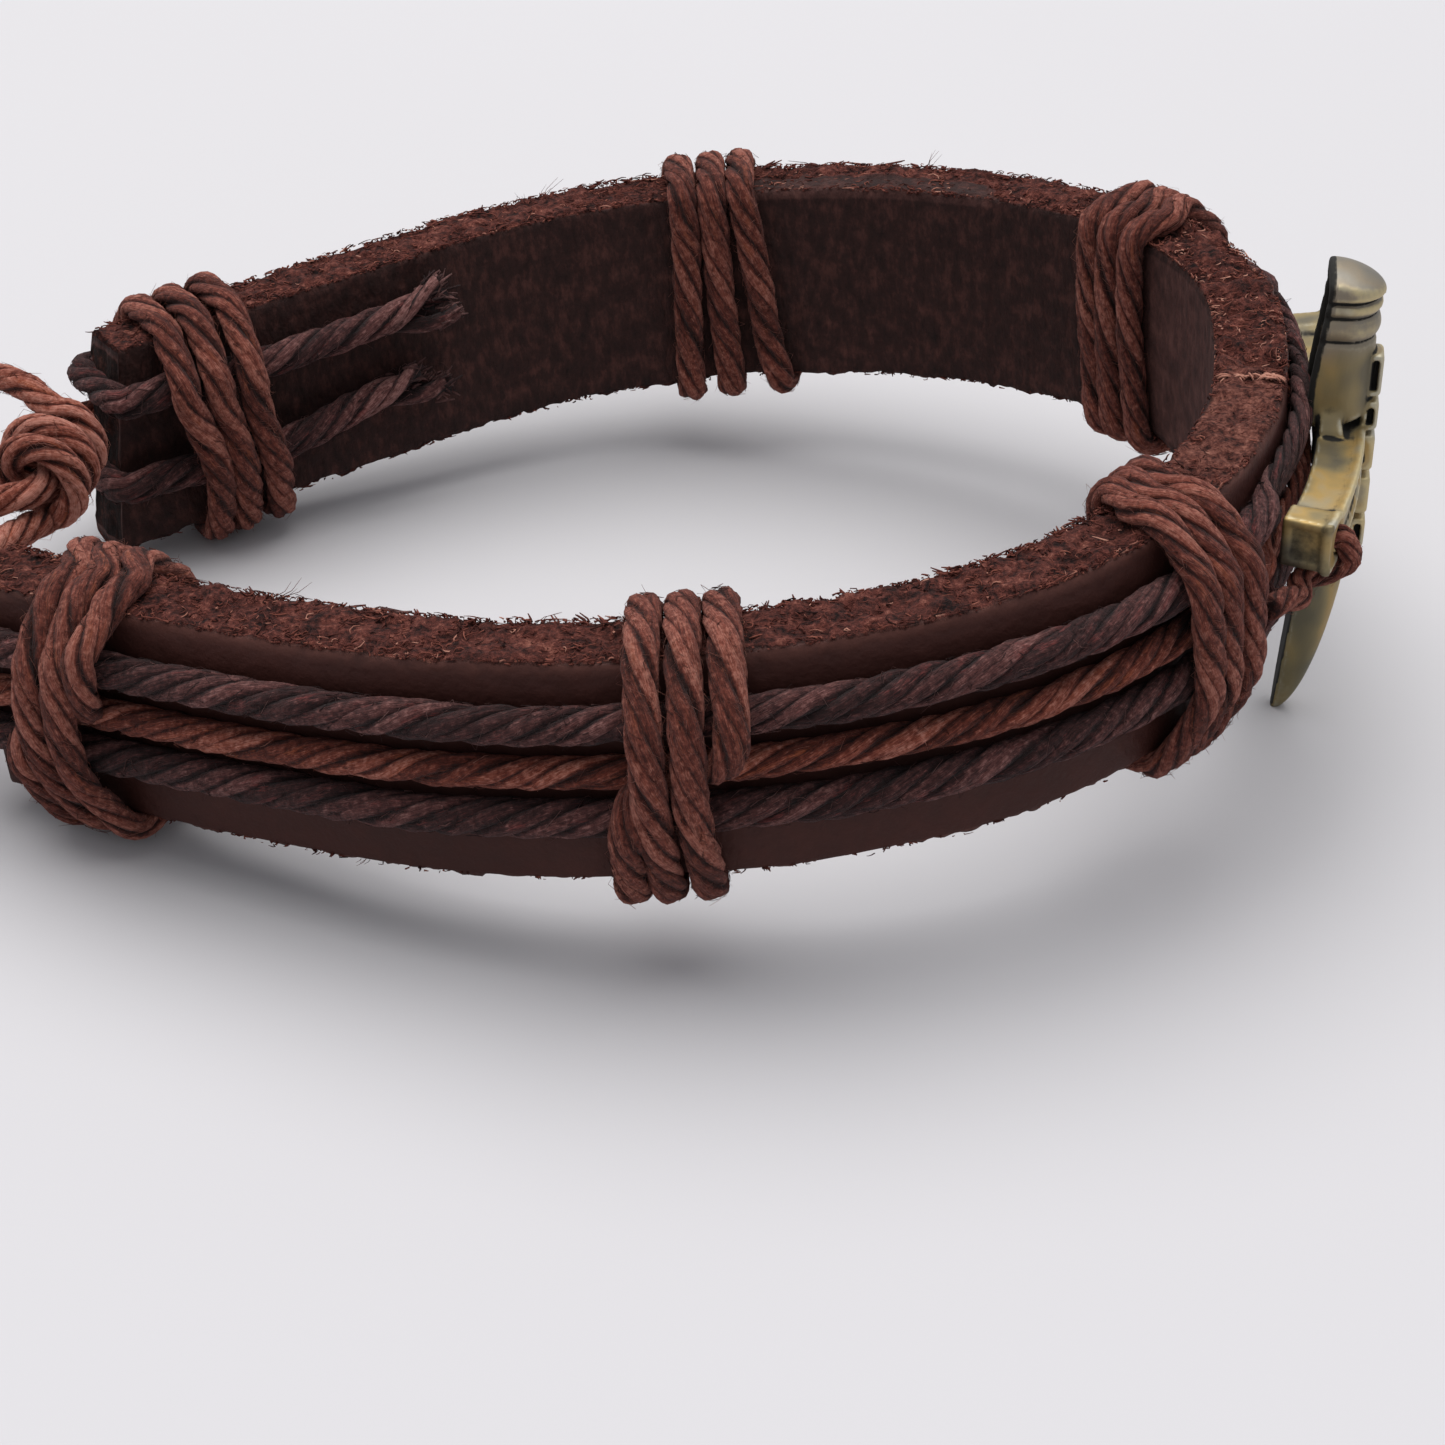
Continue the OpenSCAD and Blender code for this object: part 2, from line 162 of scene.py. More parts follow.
def which_arc(s):
    return np.clip(np.searchsorted(ARC_AT, s, "right") - 1, 0, len(ARCS) - 1)


def heading_at(s):
    i = which_arc(s)
    return ARC_HEADING[i] + (s - ARC_AT[i]) / ARC_RADIUS[i]


def spot(s, n, z):
    """The point at length s, n outwards from the strip's middle line, at height z."""
    s, n, z = np.broadcast_arrays(*(np.asarray(v, float) for v in (s, n, z)))
    i = which_arc(s)
    flat = ARC_CENTRE[i] - (ARC_RADIUS[i] + n)[..., None] * left_of(heading_at(s))
    return np.concatenate([flat, z[..., None]], -1)


def level(flat):
    """Flat directions as directions in space."""
    return np.concatenate([flat, np.zeros(flat.shape[:-1] + (1,))], -1)


def ahead(s):
    return level(ahead_of(heading_at(np.asarray(s, float))))


def outwards(s):
    return level(-left_of(heading_at(np.asarray(s, float))))


def back_end(z):
    return STRAP_LEN - END_SKEW * z / STRAP_W


def within(s, stretch, soft=1.5):
    """1 along a stretch of the strip and 0 away from it."""
    return ease((s - stretch[0]) / soft) * ease((stretch[1] - s) / soft)


# Curves
def length_along(points):
    return np.r_[0, np.cumsum(np.linalg.norm(np.diff(points, axis=0), axis=1))]


def evenly(points, step):
    at = length_along(points)
    want = np.linspace(0, at[-1], max(2, int(round(at[-1] / step)) + 1))
    return np.stack([np.interp(want, at, points[:, k]) for k in range(points.shape[1])], 1)


def through(points, step):
    """A smooth curve through the points, with a point every step."""
    p = np.asarray(points, float)
    p = np.vstack([2 * p[0] - p[1], p, 2 * p[-1] - p[-2]])
    t = np.linspace(0, 1, 12, endpoint=False)[:, None]
    runs = [0.5 * (2 * b + (c - a) * t + (2 * a - 5 * b + 4 * c - d) * t ** 2
                   + (3 * b - a - 3 * c + d) * t ** 3)
            for a, b, c, d in zip(p, p[1:], p[2:], p[3:])]
    return evenly(np.vstack(runs + [p[-2:-1]]), step)


def sides_along(route, across=None):
    """Two directions square to the route at each point, carried along it without twist."""
    t = unit(np.gradient(route, axis=0))
    u = np.empty_like(route)
    if across is None:
        guess = np.array([0, 0, 1.0]) if abs(t[0, 2]) < 0.7 else np.array([1.0, 0, 0])
        u[0] = unit(guess - t[0] * (guess @ t[0]))
        for i in range(1, len(route)):
            u[i] = unit(u[i - 1] - t[i] * (u[i - 1] @ t[i]))
    else:
        u = unit(across - t * dot(across, t))
    return u, np.cross(t, u)


# Meshes
FIBRE_SIDES = 3


class Skin:
    """Gathers rings of points into one mesh, with two attributes for its shader. lay is the
    length along a strand and the direction round it, or the place on the strip. tone is 0 to
    1 on cords and fibres and a little less in a cord's grooves, as painted shade, and names the
    leather's faces on the strip."""

    def __init__(self):
        self.points, self.quads, self.ends, self.lays, self.tones = [], [], [], [], []
        self.count = 0

    def rings(self, rings, lay, tone):
        """Tubes with closed ends. rings and lay: strand, ring, side, xyz."""
        strands, steps, sides = rings.shape[:3]
        base = self.count + np.arange(strands)[:, None, None] * steps * sides
        row = base + np.arange(steps - 1)[None, :, None] * sides
        at, beside = row + np.arange(sides), row + (np.arange(sides) + 1) % sides
        self.quads.append(np.stack([at, beside, beside + sides, at + sides], -1).reshape(-1, 4))
        first = base[:, 0] + np.arange(sides)[::-1]
        last = base[:, 0] + (steps - 1) * sides + np.arange(sides)
        self.ends += first.tolist() + last.tolist()
        self.points.append(rings.reshape(-1, 3))
        self.lays.append(lay.reshape(-1, 3))
        self.tones.append(np.broadcast_to(tone, rings.shape[:3]).reshape(-1))
        self.count += strands * steps * sides

    def fibres(self, paths, radii, tone):
        """Thin tubes. paths: strand, point, xyz. radii: strand, point. tone: strand."""
        t = unit(np.gradient(paths, axis=1))
        guess = np.where(np.abs(t[:, :1, 2:]) < 0.7, np.array([0, 0, 1.0]), np.array([1.0, 0, 0]))
        u = unit(guess - t * dot(guess, t))
        v = np.cross(t, u)
        turn = 2 * np.pi * np.arange(FIBRE_SIDES) / FIBRE_SIDES
        ring = u[:, :, None] * np.cos(turn)[:, None] + v[:, :, None] * np.sin(turn)[:, None]
        rings = paths[:, :, None] + ring * radii[:, :, None, None]
        along = 0.2 * np.arange(paths.shape[1])[None, :, None]
        lay = np.stack(np.broadcast_arrays(along, np.cos(turn), np.sin(turn)), -1)
        self.rings(rings, np.broadcast_to(lay, rings.shape), tone[:, None, None])

    def build(self, name, finish, node=None):
        mesh = bpy.data.meshes.new(name)
        faces = np.vstack(self.quads).tolist() + self.ends
        mesh.from_pydata(set_down(np.vstack(self.points)).tolist(), [], faces)
        mesh.attributes.new("lay", "FLOAT_VECTOR", "POINT").data.foreach_set(
            "vector", np.vstack(self.lays).astype(np.float32).ravel())
        set_tone(mesh, np.concatenate(self.tones))
        mesh.shade_smooth()
        place(mesh, name, finish, node)


def set_tone(mesh, tone):
    mesh.attributes.new("tone", "FLOAT", "POINT").data.foreach_set("value", tone.astype(np.float32))


def linked(name, data):
    made = bpy.data.objects.new(name, data)
    bpy.context.scene.collection.objects.link(made)
    return made


def place(mesh, name, finish, node=None):
    piece = linked(name, mesh)
    mesh.materials.append(finish)
    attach(piece, "root")
    if node:
        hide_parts(node)


# Shader writing
def srgb(red, green, blue):
    """A colour as the eye sees it, 0 to 255, as linear light."""
    return [(c / 255 / 12.92 if c <= 10 else ((c / 255 + 0.055) / 1.055) ** 2.4)
            for c in (red, green, blue)] + [1.0]


class Wire:
    """A value in a material, with the operators that add Math nodes."""

    def __init__(self, finish, socket):
        self.finish, self.socket = finish, socket

    def sum_up(self, operation, first, second):
        return self.finish.node("Math", {"operation": operation}, {0: first, 1: second})

    def __add__(self, other):
        return self.sum_up("ADD", self, other)

    __radd__ = __add__

    def __sub__(self, other):
        return self.sum_up("SUBTRACT", self, other)

    def __rsub__(self, other):
        return self.sum_up("SUBTRACT", other, self)

    def __mul__(self, other):
        return self.sum_up("MULTIPLY", self, other)

    __rmul__ = __mul__


class Finish:
    """One material's nodes."""

    def __init__(self, name):
        self.material = bpy.data.materials.new(name)
        self.material.use_nodes = True
        self.tree = self.material.node_tree
        self.tree.nodes.clear()

    def node(self, kind, settings=None, values=None, out=0):
        made = self.tree.nodes.new("ShaderNode" + kind)
        for key, value in (settings or {}).items():
            if key == "stops":
                self.set_stops(made.color_ramp, value)
            else:
                setattr(made, key, value)
        for key, value in (values or {}).items():
            if isinstance(value, Wire):
                self.tree.links.new(value.socket, made.inputs[key])
            else:
                made.inputs[key].default_value = value
        return Wire(self, made.outputs[out]) if len(made.outputs) else None

    def set_stops(self, ramp, stops):
        while len(ramp.elements) < len(stops):
            ramp.elements.new(0.5)
        for element, (position, colour) in zip(ramp.elements, stops):
            element.position = position
            element.color = colour

    def ramp(self, mask, stops):
        return self.node("ValToRGB", {"stops": stops}, {0: mask})

    def step(self, value, low, high):
        """0 below low, 1 above high and smooth between."""
        return self.node("MapRange", {"interpolation_type": "SMOOTHSTEP"},
                         {0: value, 1: low, 2: high})

    def mix(self, mask, first, second, how="MIX"):
        return self.node("Mix", {"data_type": "RGBA", "blend_type": how},
                         {0: mask, 6: first, 7: second}, 2)

    def stretched(self, vector, scale):
        return self.node("VectorMath", {"operation": "MULTIPLY"}, {0: vector, 1: scale})

    def noise(self, vector, scale, detail=3.0, roughness=0.55):
        return self.node("TexNoise", {}, {"Vector": vector, "Scale": scale, "Detail": detail,
                                          "Roughness": roughness})

    def attribute(self, name, out=2):
        return self.node("Attribute", {"attribute_name": name}, {}, out)

    def place(self):
        return self.node("TexCoord", {}, {}, 3)

    def bump(self, height, depth, strength=1.0, below=None):
        values = {"Height": height, "Distance": depth, "Strength": strength}
        if below:
            values["Normal"] = below
        return self.node("Bump", {}, values)

    def shown(self, colour, roughness, normal=None, metallic=0.0, **constants):
        values = {"Base Color": colour, "Roughness": roughness, "Metallic": metallic}
        values.update({key.replace("_", " "): value for key, value in constants.items()})
        if normal:
            values["Normal"] = normal
        shader = self.node("BsdfPrincipled", {}, values)
        self.node("OutputMaterial", {}, {"Surface": shader})
        return self.material


def cord_finish(name, body, pale, stain, pale_share):
    """Twisted waxed cord: matted fibres along each ply, a few paler and a few stained, with painted
    shade in the grooves between plies.
    """
    f = Finish(name)
    lay = f.attribute("lay", 1)
    tone = f.attribute("tone")
    fibre = f.noise(f.stretched(lay, (1.1, 3.8, 3.8)), 1.0, 4.0, 0.7)
    fine = f.noise(f.stretched(lay, (3.0, 10, 10)), 1.0, 3.0, 0.6)
    matted = f.noise(f.place(), 3000.0, 4.0, 0.65)
    patch = f.noise(f.stretched(lay, (0.6, 0.9, 0.9)), 1.0, 3.0)
    # tone is low in the grooves between plies, so the ramp is darker there: painted shade
    shade = fibre * 0.4 + fine * 0.2 + matted * 0.35 + f.step(tone, 0, 1) * 0.3
    colour = f.ramp(f.step(shade, 0.4, 0.84), body)
    colour = f.mix(f.step(patch * 0.7 + fine * 0.3, 0.55, 0.68) * 0.55, colour, stain)
    light = f.step(fine * 0.45 + matted * 0.4 + tone * pale_share, 0.56, 0.74)
    colour = f.mix(light * 0.5, colour, pale)
    # Painted shade: near black where the tone is low, in the grooves between plies
    painted_groove_dark = 1 - f.step(tone + (fibre - 0.5) * 1.0, -0.1, 0.14)
    colour = f.mix(painted_groove_dark * 0.45, colour, srgb(20, 10, 9))
    normal = f.bump(fibre * 0.7 + fine * 0.35 + matted * 0.8, 0.0002, 1.0)
    return f.shown(colour, 0.95 - light * 0.06, normal, Sheen_Weight=0.06,
                   Sheen_Roughness=0.6, Specular_IOR_Level=0.1)


def leather_finish():
    """Smooth dyed faces and a raw cut edge. tone is 0 on the outer face, 0.5 on the cuts, 1 on
    the inner face, 1.2 where that is paler, and END_TONE on the strip's two ends, which are
    painted near black as painted shade."""
    f = Finish("leather")
    place_at = f.place()
    kind = f.attribute("tone")
    lay = f.attribute("lay", 1)
    lumps = f.noise(place_at, 900.0, 5.0, 0.6)
    fuzz = f.noise(place_at, 3200.0, 4.0, 0.7)
    broad = f.noise(place_at, 90.0, 3.0)
    grain = f.noise(f.stretched(lay, (1.9, 0.8, 2.2)), 1.0, 5.0, 0.65)
    pores = f.node("TexVoronoi", {}, {"Vector": place_at, "Scale": 2400.0})
    outer = f.ramp(broad * 0.6 + lumps * 0.4,
                   [(0.25, srgb(50, 26, 22)), (0.5, srgb(61, 32, 27)), (0.75, srgb(74, 40, 34))])
    worn = f.step(kind, 0.01, 0.07) * f.step(lumps * 0.5 + broad * 0.5, 0.36, 0.56)
    outer = f.mix(worn * 0.3, outer, srgb(112, 70, 60))
    inner = f.ramp(grain * 0.6 + lumps * 0.4,
                   [(0.3, srgb(26, 14, 12)), (0.5, srgb(49, 28, 25)), (0.7, srgb(86, 52, 46))])
    inner = f.mix(f.step(kind, 1.02, 1.2), inner, f.ramp(grain * 0.6 + lumps * 0.4, [
        (0.3, srgb(40, 23, 21)), (0.5, srgb(72, 45, 41)), (0.7, srgb(100, 66, 60))]))
    # The strip's two end faces: a near-black ramp, which is painted shade
    inner = f.mix(f.step(kind, 1.3, 1.45), inner, f.ramp(fuzz * 0.5 + lumps * 0.5, [
        (0.4, srgb(14, 6, 5)), (0.52, srgb(30, 14, 11)), (0.62, srgb(64, 34, 27))]))
    cut = f.ramp(lumps * 0.45 + fuzz * 0.55,
                 [(0.39, srgb(22, 9, 8)), (0.46, srgb(62, 30, 25)), (0.55, srgb(98, 51, 43)),
                  (0.66, srgb(146, 92, 78))])
    along = f.node("SeparateXYZ", {}, {"Vector": lay})
    suede = f.step(along, SUEDE[0], SUEDE[0] + 3) * (1 - f.step(along, SUEDE[1] - 1, SUEDE[1] + 3))
    cut = f.mix(suede * 0.6, cut, f.ramp(fuzz * 0.6 + lumps * 0.4, [
        (0.4, srgb(44, 21, 17)), (0.48, srgb(98, 54, 45)), (0.62, srgb(152, 102, 87))]))
    ragged = kind + (fuzz - 0.5) * 0.25 + (lumps - 0.5) * 0.2
    on_cut = f.step(ragged, 0.14, 0.26) * (1 - f.step(ragged, 0.74, 0.86))
    colour = f.mix(f.step(kind, 0.45, 0.55), outer, inner)
    colour = f.mix(on_cut, colour, cut)
    height = lumps * 0.5 + fuzz * 1.4 * on_cut + grain * f.step(kind, 0.5, 0.9) * 1.1
    normal = f.bump(height, 0.00034, 1.0)
    normal = f.bump(pores, 0.00003, 0.35, normal)
    rough = (0.55 + lumps * 0.15 + on_cut * 0.33 + f.step(kind, 0.6, 0.9) * 0.16
             + f.step(kind, 1.2, 1.4) * 0.2)
    return f.shown(colour, rough, normal, Specular_IOR_Level=0.22)


def fibre_finish():
    f = Finish("leather_fibres")
    tone = f.attribute("tone")
    fleck = f.noise(f.place(), 2400.0, 2.0)
    colour = f.ramp(tone + (fleck - 0.5) * 0.2,
                    [(0.0, srgb(36, 16, 13)), (0.45, srgb(84, 41, 34)), (0.8, srgb(126, 73, 60)),
                     (1.0, srgb(182, 132, 114))])
    return f.shown(colour, 0.85, None, Specular_IOR_Level=0.2)


# Heights on the charm in metres: its cap is more silvery, its tip greener
CAP_FROM, CAP_FULL = 0.0205, 0.0225
TIP_FULL, TIP_TO = 0.003, 0.011


def bronze_finish():
    """Antique plate. tone is 1 on worn edges and 0 in the hollows, where it is patina; it is also
    low where charm_tone paints shade on the back, the upright's side, the slots and the arms' end
    faces.
    """
    f = Finish("antique_bronze")
    # tone holds both the wear and patina and the painted shade set in charm_tone
    worn = f.attribute("tone")
    place_at = f.place()
    patch = f.noise(f.stretched(place_at, (1.0, 1.0, 0.6)), 330.0, 2.0, 0.5)
    fine = f.noise(place_at, 3000.0, 3.0, 0.6)
    scratch = f.noise(f.stretched(place_at, (1.0, 1.0, 0.15)), 5200.0, 3.0, 0.6)
    body = f.ramp(patch, [(0.34, srgb(108, 101, 84)), (0.46, srgb(142, 127, 92)),
                          (0.55, srgb(172, 144, 90)), (0.66, srgb(158, 148, 124))])
    bright = f.mix(f.step(patch, 0.4, 0.6), srgb(184, 180, 164), srgb(196, 180, 138))
    height = f.node("SeparateXYZ", {}, {"Vector": place_at}, out=2)
    uneven = height + (patch - 0.5) * 0.006
    silvered = f.step(uneven, CAP_FROM, CAP_FULL) * 0.75
    body = f.mix(silvered, body, srgb(126, 122, 116))
    colour = f.mix(f.step(worn + (fine - 0.5) * 0.25, 0.62, 0.95) * 0.85, body, bright)
    low = 1 - f.step(uneven, TIP_FULL, TIP_TO)
    colour = f.mix(low * 0.4, colour, srgb(72, 72, 50))
    # Near black in the hollows as patina, and near black as painted shade on the charm's back, the
    # upright's side, the slots and the arms' end faces
    patina_and_shade = 1 - f.step(worn + (patch - 0.5) * 0.25 + (fine - 0.5) * 0.2, 0.2, 0.42)
    colour = f.mix(patina_and_shade, colour, srgb(27, 25, 21))
    normal = f.bump(fine * 0.6 + scratch * 0.4, 0.00003, 0.5)
    return f.shown(colour, 0.46 + patina_and_shade * 0.35 + scratch * 0.14, normal, 0.72 - patina_and_shade * 0.5)


def floor_finish():
    f = Finish("pale_floor")
    shade = f.noise(f.place(), 4.0, 2.0)
    colour = f.mix(shade, srgb(191, 189, 190), srgb(199, 197, 200))
    return f.shown(colour, 0.7, None, Specular_IOR_Level=0.2)


LEATHER = leather_finish()
FIBRES = fibre_finish()
BRONZE = bronze_finish()
MAUVE = cord_finish("mauve_cord", [
    (0.0, srgb(27, 14, 14)), (0.35, srgb(58, 33, 32)), (0.7, srgb(91, 55, 52)),
    (1.0, srgb(124, 84, 79))], srgb(166, 124, 118), srgb(124, 58, 55), 0.24)
ORANGE = cord_finish("orange_brown_cord", [
    (0.0, srgb(44, 18, 14)), (0.35, srgb(90, 43, 34)), (0.7, srgb(124, 65, 52)),
    (1.0, srgb(150, 86, 71))], srgb(184, 130, 113), srgb(142, 76, 52), 0.3)
MIDDLE = cord_finish("orange_cord", [
    (0.0, srgb(52, 20, 14)), (0.35, srgb(104, 49, 37)), (0.7, srgb(142, 76, 59)),
    (1.0, srgb(170, 102, 84))], srgb(204, 150, 134), srgb(168, 88, 54), 0.3)


# Twisted cord. A ply's place and size are shares of the cord's half width and thickness
PLIES = 5
PLY_SIDES = 8
PLY_OUT = 0.5
PLY_R = 0.49
PLY_WANDER = 0.4
PLY_SWELL = 0.11
PLY_SHADE = 0.07
GROOVE_SHADE = 0.1
STRANDS_ROUND = 5


class Cord:
    """A twisted cord along a route. Its plies wind to the left, once in each lay."""

    def __init__(self, route, wide, thick, across, lay, seed, phase=0.0):
        self.route, self.lay, self.seed, self.phase = route, lay, seed, phase
        self.at = length_along(route)
        self.u, self.v = sides_along(route, across)
        self.wide = np.broadcast_to(np.asarray(wide, float), self.at.shape) / 2
        self.thick = np.broadcast_to(np.asarray(thick, float), self.at.shape) / 2

    def plies(self, skin, tone=0.5, spread=None, trims=(0,) * PLIES):
        """Adds the plies. spread gives a ply's drift from the cord and how slim it is, and
        trims how many points shorter each ply is."""
        turn = 2 * np.pi * np.arange(PLY_SIDES) / PLY_SIDES
        tone = np.broadcast_to(tone, self.at.shape)
        self.tips = []
        for ply, trim in enumerate(trims):
            keep = slice(0, len(self.at) - trim)
            at, u, v = self.at[keep], self.u[keep], self.v[keep]
            a, b = self.wide[keep], self.thick[keep]
            wander = cloud_along(at, ply * 9, self.seed * 5, 3.0, 3)
            swell = 1 + PLY_SWELL * cloud_along(at, ply * 5, self.seed, 1.7, 5)
            phi = (self.phase + 2 * np.pi * ply / PLIES - 2 * np.pi * at / self.lay
                   + wander * PLY_WANDER)
            middle = (self.route[keep] + u * (a * PLY_OUT * np.cos(phi))[:, None]
                      + v * (b * PLY_OUT * np.sin(phi))[:, None])
            slim = np.ones_like(at)
            if spread:
                drift, slim = spread(ply, at, self.at[-1])
                middle = middle + drift
            self.tips.append(((middle[0], middle[0] - middle[3]),
                              (middle[-1], middle[-1] - middle[-4])))
            angle = phi[:, None] + turn
            fibre = np.stack([np.broadcast_to(at[:, None] * 0.8, angle.shape),
                              2.2 * np.cos(turn + 0 * angle),
                              2.2 * np.sin(turn + 0 * angle) + ply * 7.0 + self.seed * 3.0], -1)
            strand = np.cos(STRANDS_ROUND * (turn - at[:, None] * 0.5) + 3 * wander[:, None])
            rough = 1 + 0.05 * cloud(fibre, 0.5, 9) + 0.03 * strand
            reach = PLY_R * (swell * slim)[:, None] * rough
            rings = (middle[:, None]
                     + u[:, None] * (a[:, None] * reach * np.cos(angle))[..., None]
                     + v[:, None] * (b[:, None] * reach * np.sin(angle))[..., None])
            run = turn - at[:, None] * 0.55
            own = ply * 31.0 + self.seed * 17.0
            lay = np.stack([np.broadcast_to(at[:, None], run.shape) + own,
                            np.cos(run), np.sin(run)], -1)
            shade = np.clip(tone[keep] + PLY_SHADE * (ply - PLIES // 2), 0, 1)[:, None]
            # Painted shade: the tone falls below 0 in the grooves between the plies
            painted_groove_shade = 1 - ease((np.cos(turn) - 0.05) / 0.4)
            shade = shade * (1 - painted_groove_shade) - GROOVE_SHADE * painted_groove_shade
            skin.rings(rings[None], lay[None], shade[None])

    def fluff(self, skin, count, long, lift, seed, tones, thin, span=None):
        """Loose fibres that start on the cord and partly leave it."""
        pick = np.random.default_rng(seed * 31 + self.seed)
        low, high = span or (0, self.at[-1])
        start = pick.uniform(low, high, count)
        size = pick.uniform(*long, count) * pick.choice([-1, 1], count)
        angle = pick.uniform(0, 2 * np.pi, count)
        rise = lift[0] + (lift[1] - lift[0]) * pick.uniform(0, 1, count) ** 3
        both = pick.uniform(0, 1, count) < 0.5
        t = np.linspace(0, 1, 3)[None]
        wave = pick.normal(0, 0.5, (count, 1)) * t + pick.normal(0, 0.35, (count, 1)) * np.sin(
            t * pick.uniform(2, 7, (count, 1)))
        at = np.clip(start[:, None] + size[:, None] * t * 0.85, 0, self.at[-1])
        round_it = angle[:, None] - 2 * np.pi * (at - start[:, None]) / self.lay + wave
        raised = rise[:, None] * np.where(both[:, None], np.sin(np.pi * t), t ** 2)
        centre, u, v = (sample(part, self.at, at) for part in (self.route, self.u, self.v))
        a = np.interp(at, self.at, self.wide) * 0.95 + raised
        b = np.interp(at, self.at, self.thick) * 0.95 + raised
        paths = (centre + u * (a * np.cos(round_it))[..., None]
                 + v * (b * np.sin(round_it))[..., None])
        radii = thin * pick.uniform(0.7, 1.4, (count, 1)) * (1 - 0.6 * t) + 0 * at
        skin.fibres(paths, radii, pick.uniform(*tones, count))


def sample(values, at, want):
    return np.stack([np.interp(want, at, values[:, k]) for k in range(values.shape[1])], -1)


# The leather strip
EDGE_R = 0.42
# END_TONE marks the strip's two end faces, which the leather paints near black as painted shade
END_TONE = 1.5
STRIP_STEP = 0.25
END_RINGS = 7
FIBRES_FROM, FIBRES_TO = 0.3, STRAP_LEN - 2.6


def strip_section():
    """The strip's outline: n, z, outward normal and tone, all the way round."""
    half, top, r = FACE, STRAP_W, EDGE_R
    rows = []

    def line(start, end, normal, count, tones):
        for k in range(count):
            t = (k + 0.5) / count
            rows.append((*(np.array(start) * (1 - t) + np.array(end) * t), *normal,
                         tones[0] + (tones[1] - tones[0]) * t))

    def corner(n, z, from_angle, tones):
        for k in range(4):
            t = k / 3
            a = math.radians(from_angle + 90 * t)
            rows.append((n + r * math.cos(a), z + r * math.sin(a), math.cos(a), math.sin(a),
                         tones[0] + (tones[1] - tones[0]) * t))

    line((half, r), (half, top - r - 0.3), (1, 0), 15, (0, 0))
    line((half, top - r - 0.3), (half, top - r), (1, 0), 1, (0.05, 0.05))
    corner(half - r, top - r, 0, (0.06, 0.34))
    line((half - r, top), (-half + r, top), (0, 1), 20, (0.4, 0.6))
    corner(-half + r, top - r, 90, (0.66, 0.92))
    line((-half, top - r), (-half, r), (-1, 0), 18, (1, 1))
    corner(-half + r, r, 180, (0.92, 0.66))
    line((-half + r, 0), (half - r, 0), (0, -1), 12, (0.6, 0.4))
    corner(half - r, r, 270, (0.34, -0.1))
    return np.array(rows)


def strip_surface(s, n, z, normal_n, normal_z, tone):
    """Where a point of the strip really lies: worn faces, ragged cuts, dents at bindings."""
    flat = np.stack([s, n, z], -1)
    on_cut = np.clip((0.46 - np.abs(tone - 0.5)) / 0.2, 0, 1)
    inside = np.clip((tone - 0.8) / 0.2, 0, 1)
    ragged = (0.17 * cloud(flat, 1.1, 1) + 0.17 * cloud(flat, 0.5, 2)
              + 0.08 * cloud(flat, 0.28, 3)) * on_cut * (1 + 0.8 * within(s, PITTED))
    face = 0.05 * cloud(flat, 5.0, 4) * (1 - on_cut)
    wrinkle = (0.07 * cloud(flat * np.array([1.0, 1.0, 0.35]), 0.9, 6)
               + 0.04 * cloud(flat, 0.5, 7)) * inside
    push = ragged + face + wrinkle - 0.05 * on_cut
    dent = sum(bell(s, at, 3.2) for at in BINDINGS_AT) * 0.16 * np.abs(normal_z)
    return spot(s, n + normal_n * push, z + normal_z * (push - dent))


def end_rings(section, way):
    """The rings that close one end of the strip; way is 1 at the back end."""
    rings = []
    for k in range(1, END_RINGS + 1):
        share = 1 - k / (END_RINGS + 1)
        n, z = section[:, 0] * share, STRAP_W / 2 + (section[:, 1] - STRAP_W / 2) * share
        s = back_end(z) if way == 1 else np.zeros(len(section))
        at = np.stack([s, n, z], -1)
        bulge = 0.16 * cloud(at, 0.9, 8) + 0.1 * cloud(at, 0.4, 9) + 0.1 * (1 - share ** 6)
        rings.append((spot(s, n, z) + ahead(s) * (way * bulge)[:, None], np.stack([s, z, n], -1)))
    points, lays = (np.array(part) for part in zip(*rings[::way]))
    return points, lays, np.full(points.shape[:2], END_TONE)


def make_strap():
    section = strip_section()
    stations = np.linspace(0, STRAP_LEN, int(STRAP_LEN / STRIP_STEP))
    s = np.minimum(stations[:, None], back_end(np.clip(section[None, :, 1], 0, STRAP_W)))
    n, z, normal_n, normal_z, tone = (np.broadcast_to(section[:, k], s.shape) for k in range(5))
    narrow = ease((s - NARROW_CUT[0]) / 3) * ease((NARROW_CUT[1] - s) / 2) * ease((0.6 - n) / 0.9)
    tone = np.where(z > STRAP_W - 0.6, tone + 0.35 * narrow, tone)
    pale = ease((s - PALE_INSIDE[0]) / 8) * ease((PALE_INSIDE[1] - s) / 3)
    tone = tone + 0.22 * pale * (tone > 0.97)
    body = strip_surface(s, n, z, normal_n, normal_z, tone)
    parts = (end_rings(section, -1), (body, np.stack([s, z, n], -1), tone), end_rings(section, 1))
    points, lays, tones = (np.vstack(part) for part in zip(*parts))
    skin = Skin()
    skin.rings(points[None], lays[None], tones[None])
    skin.build("leather_strip", LEATHER, "strap")


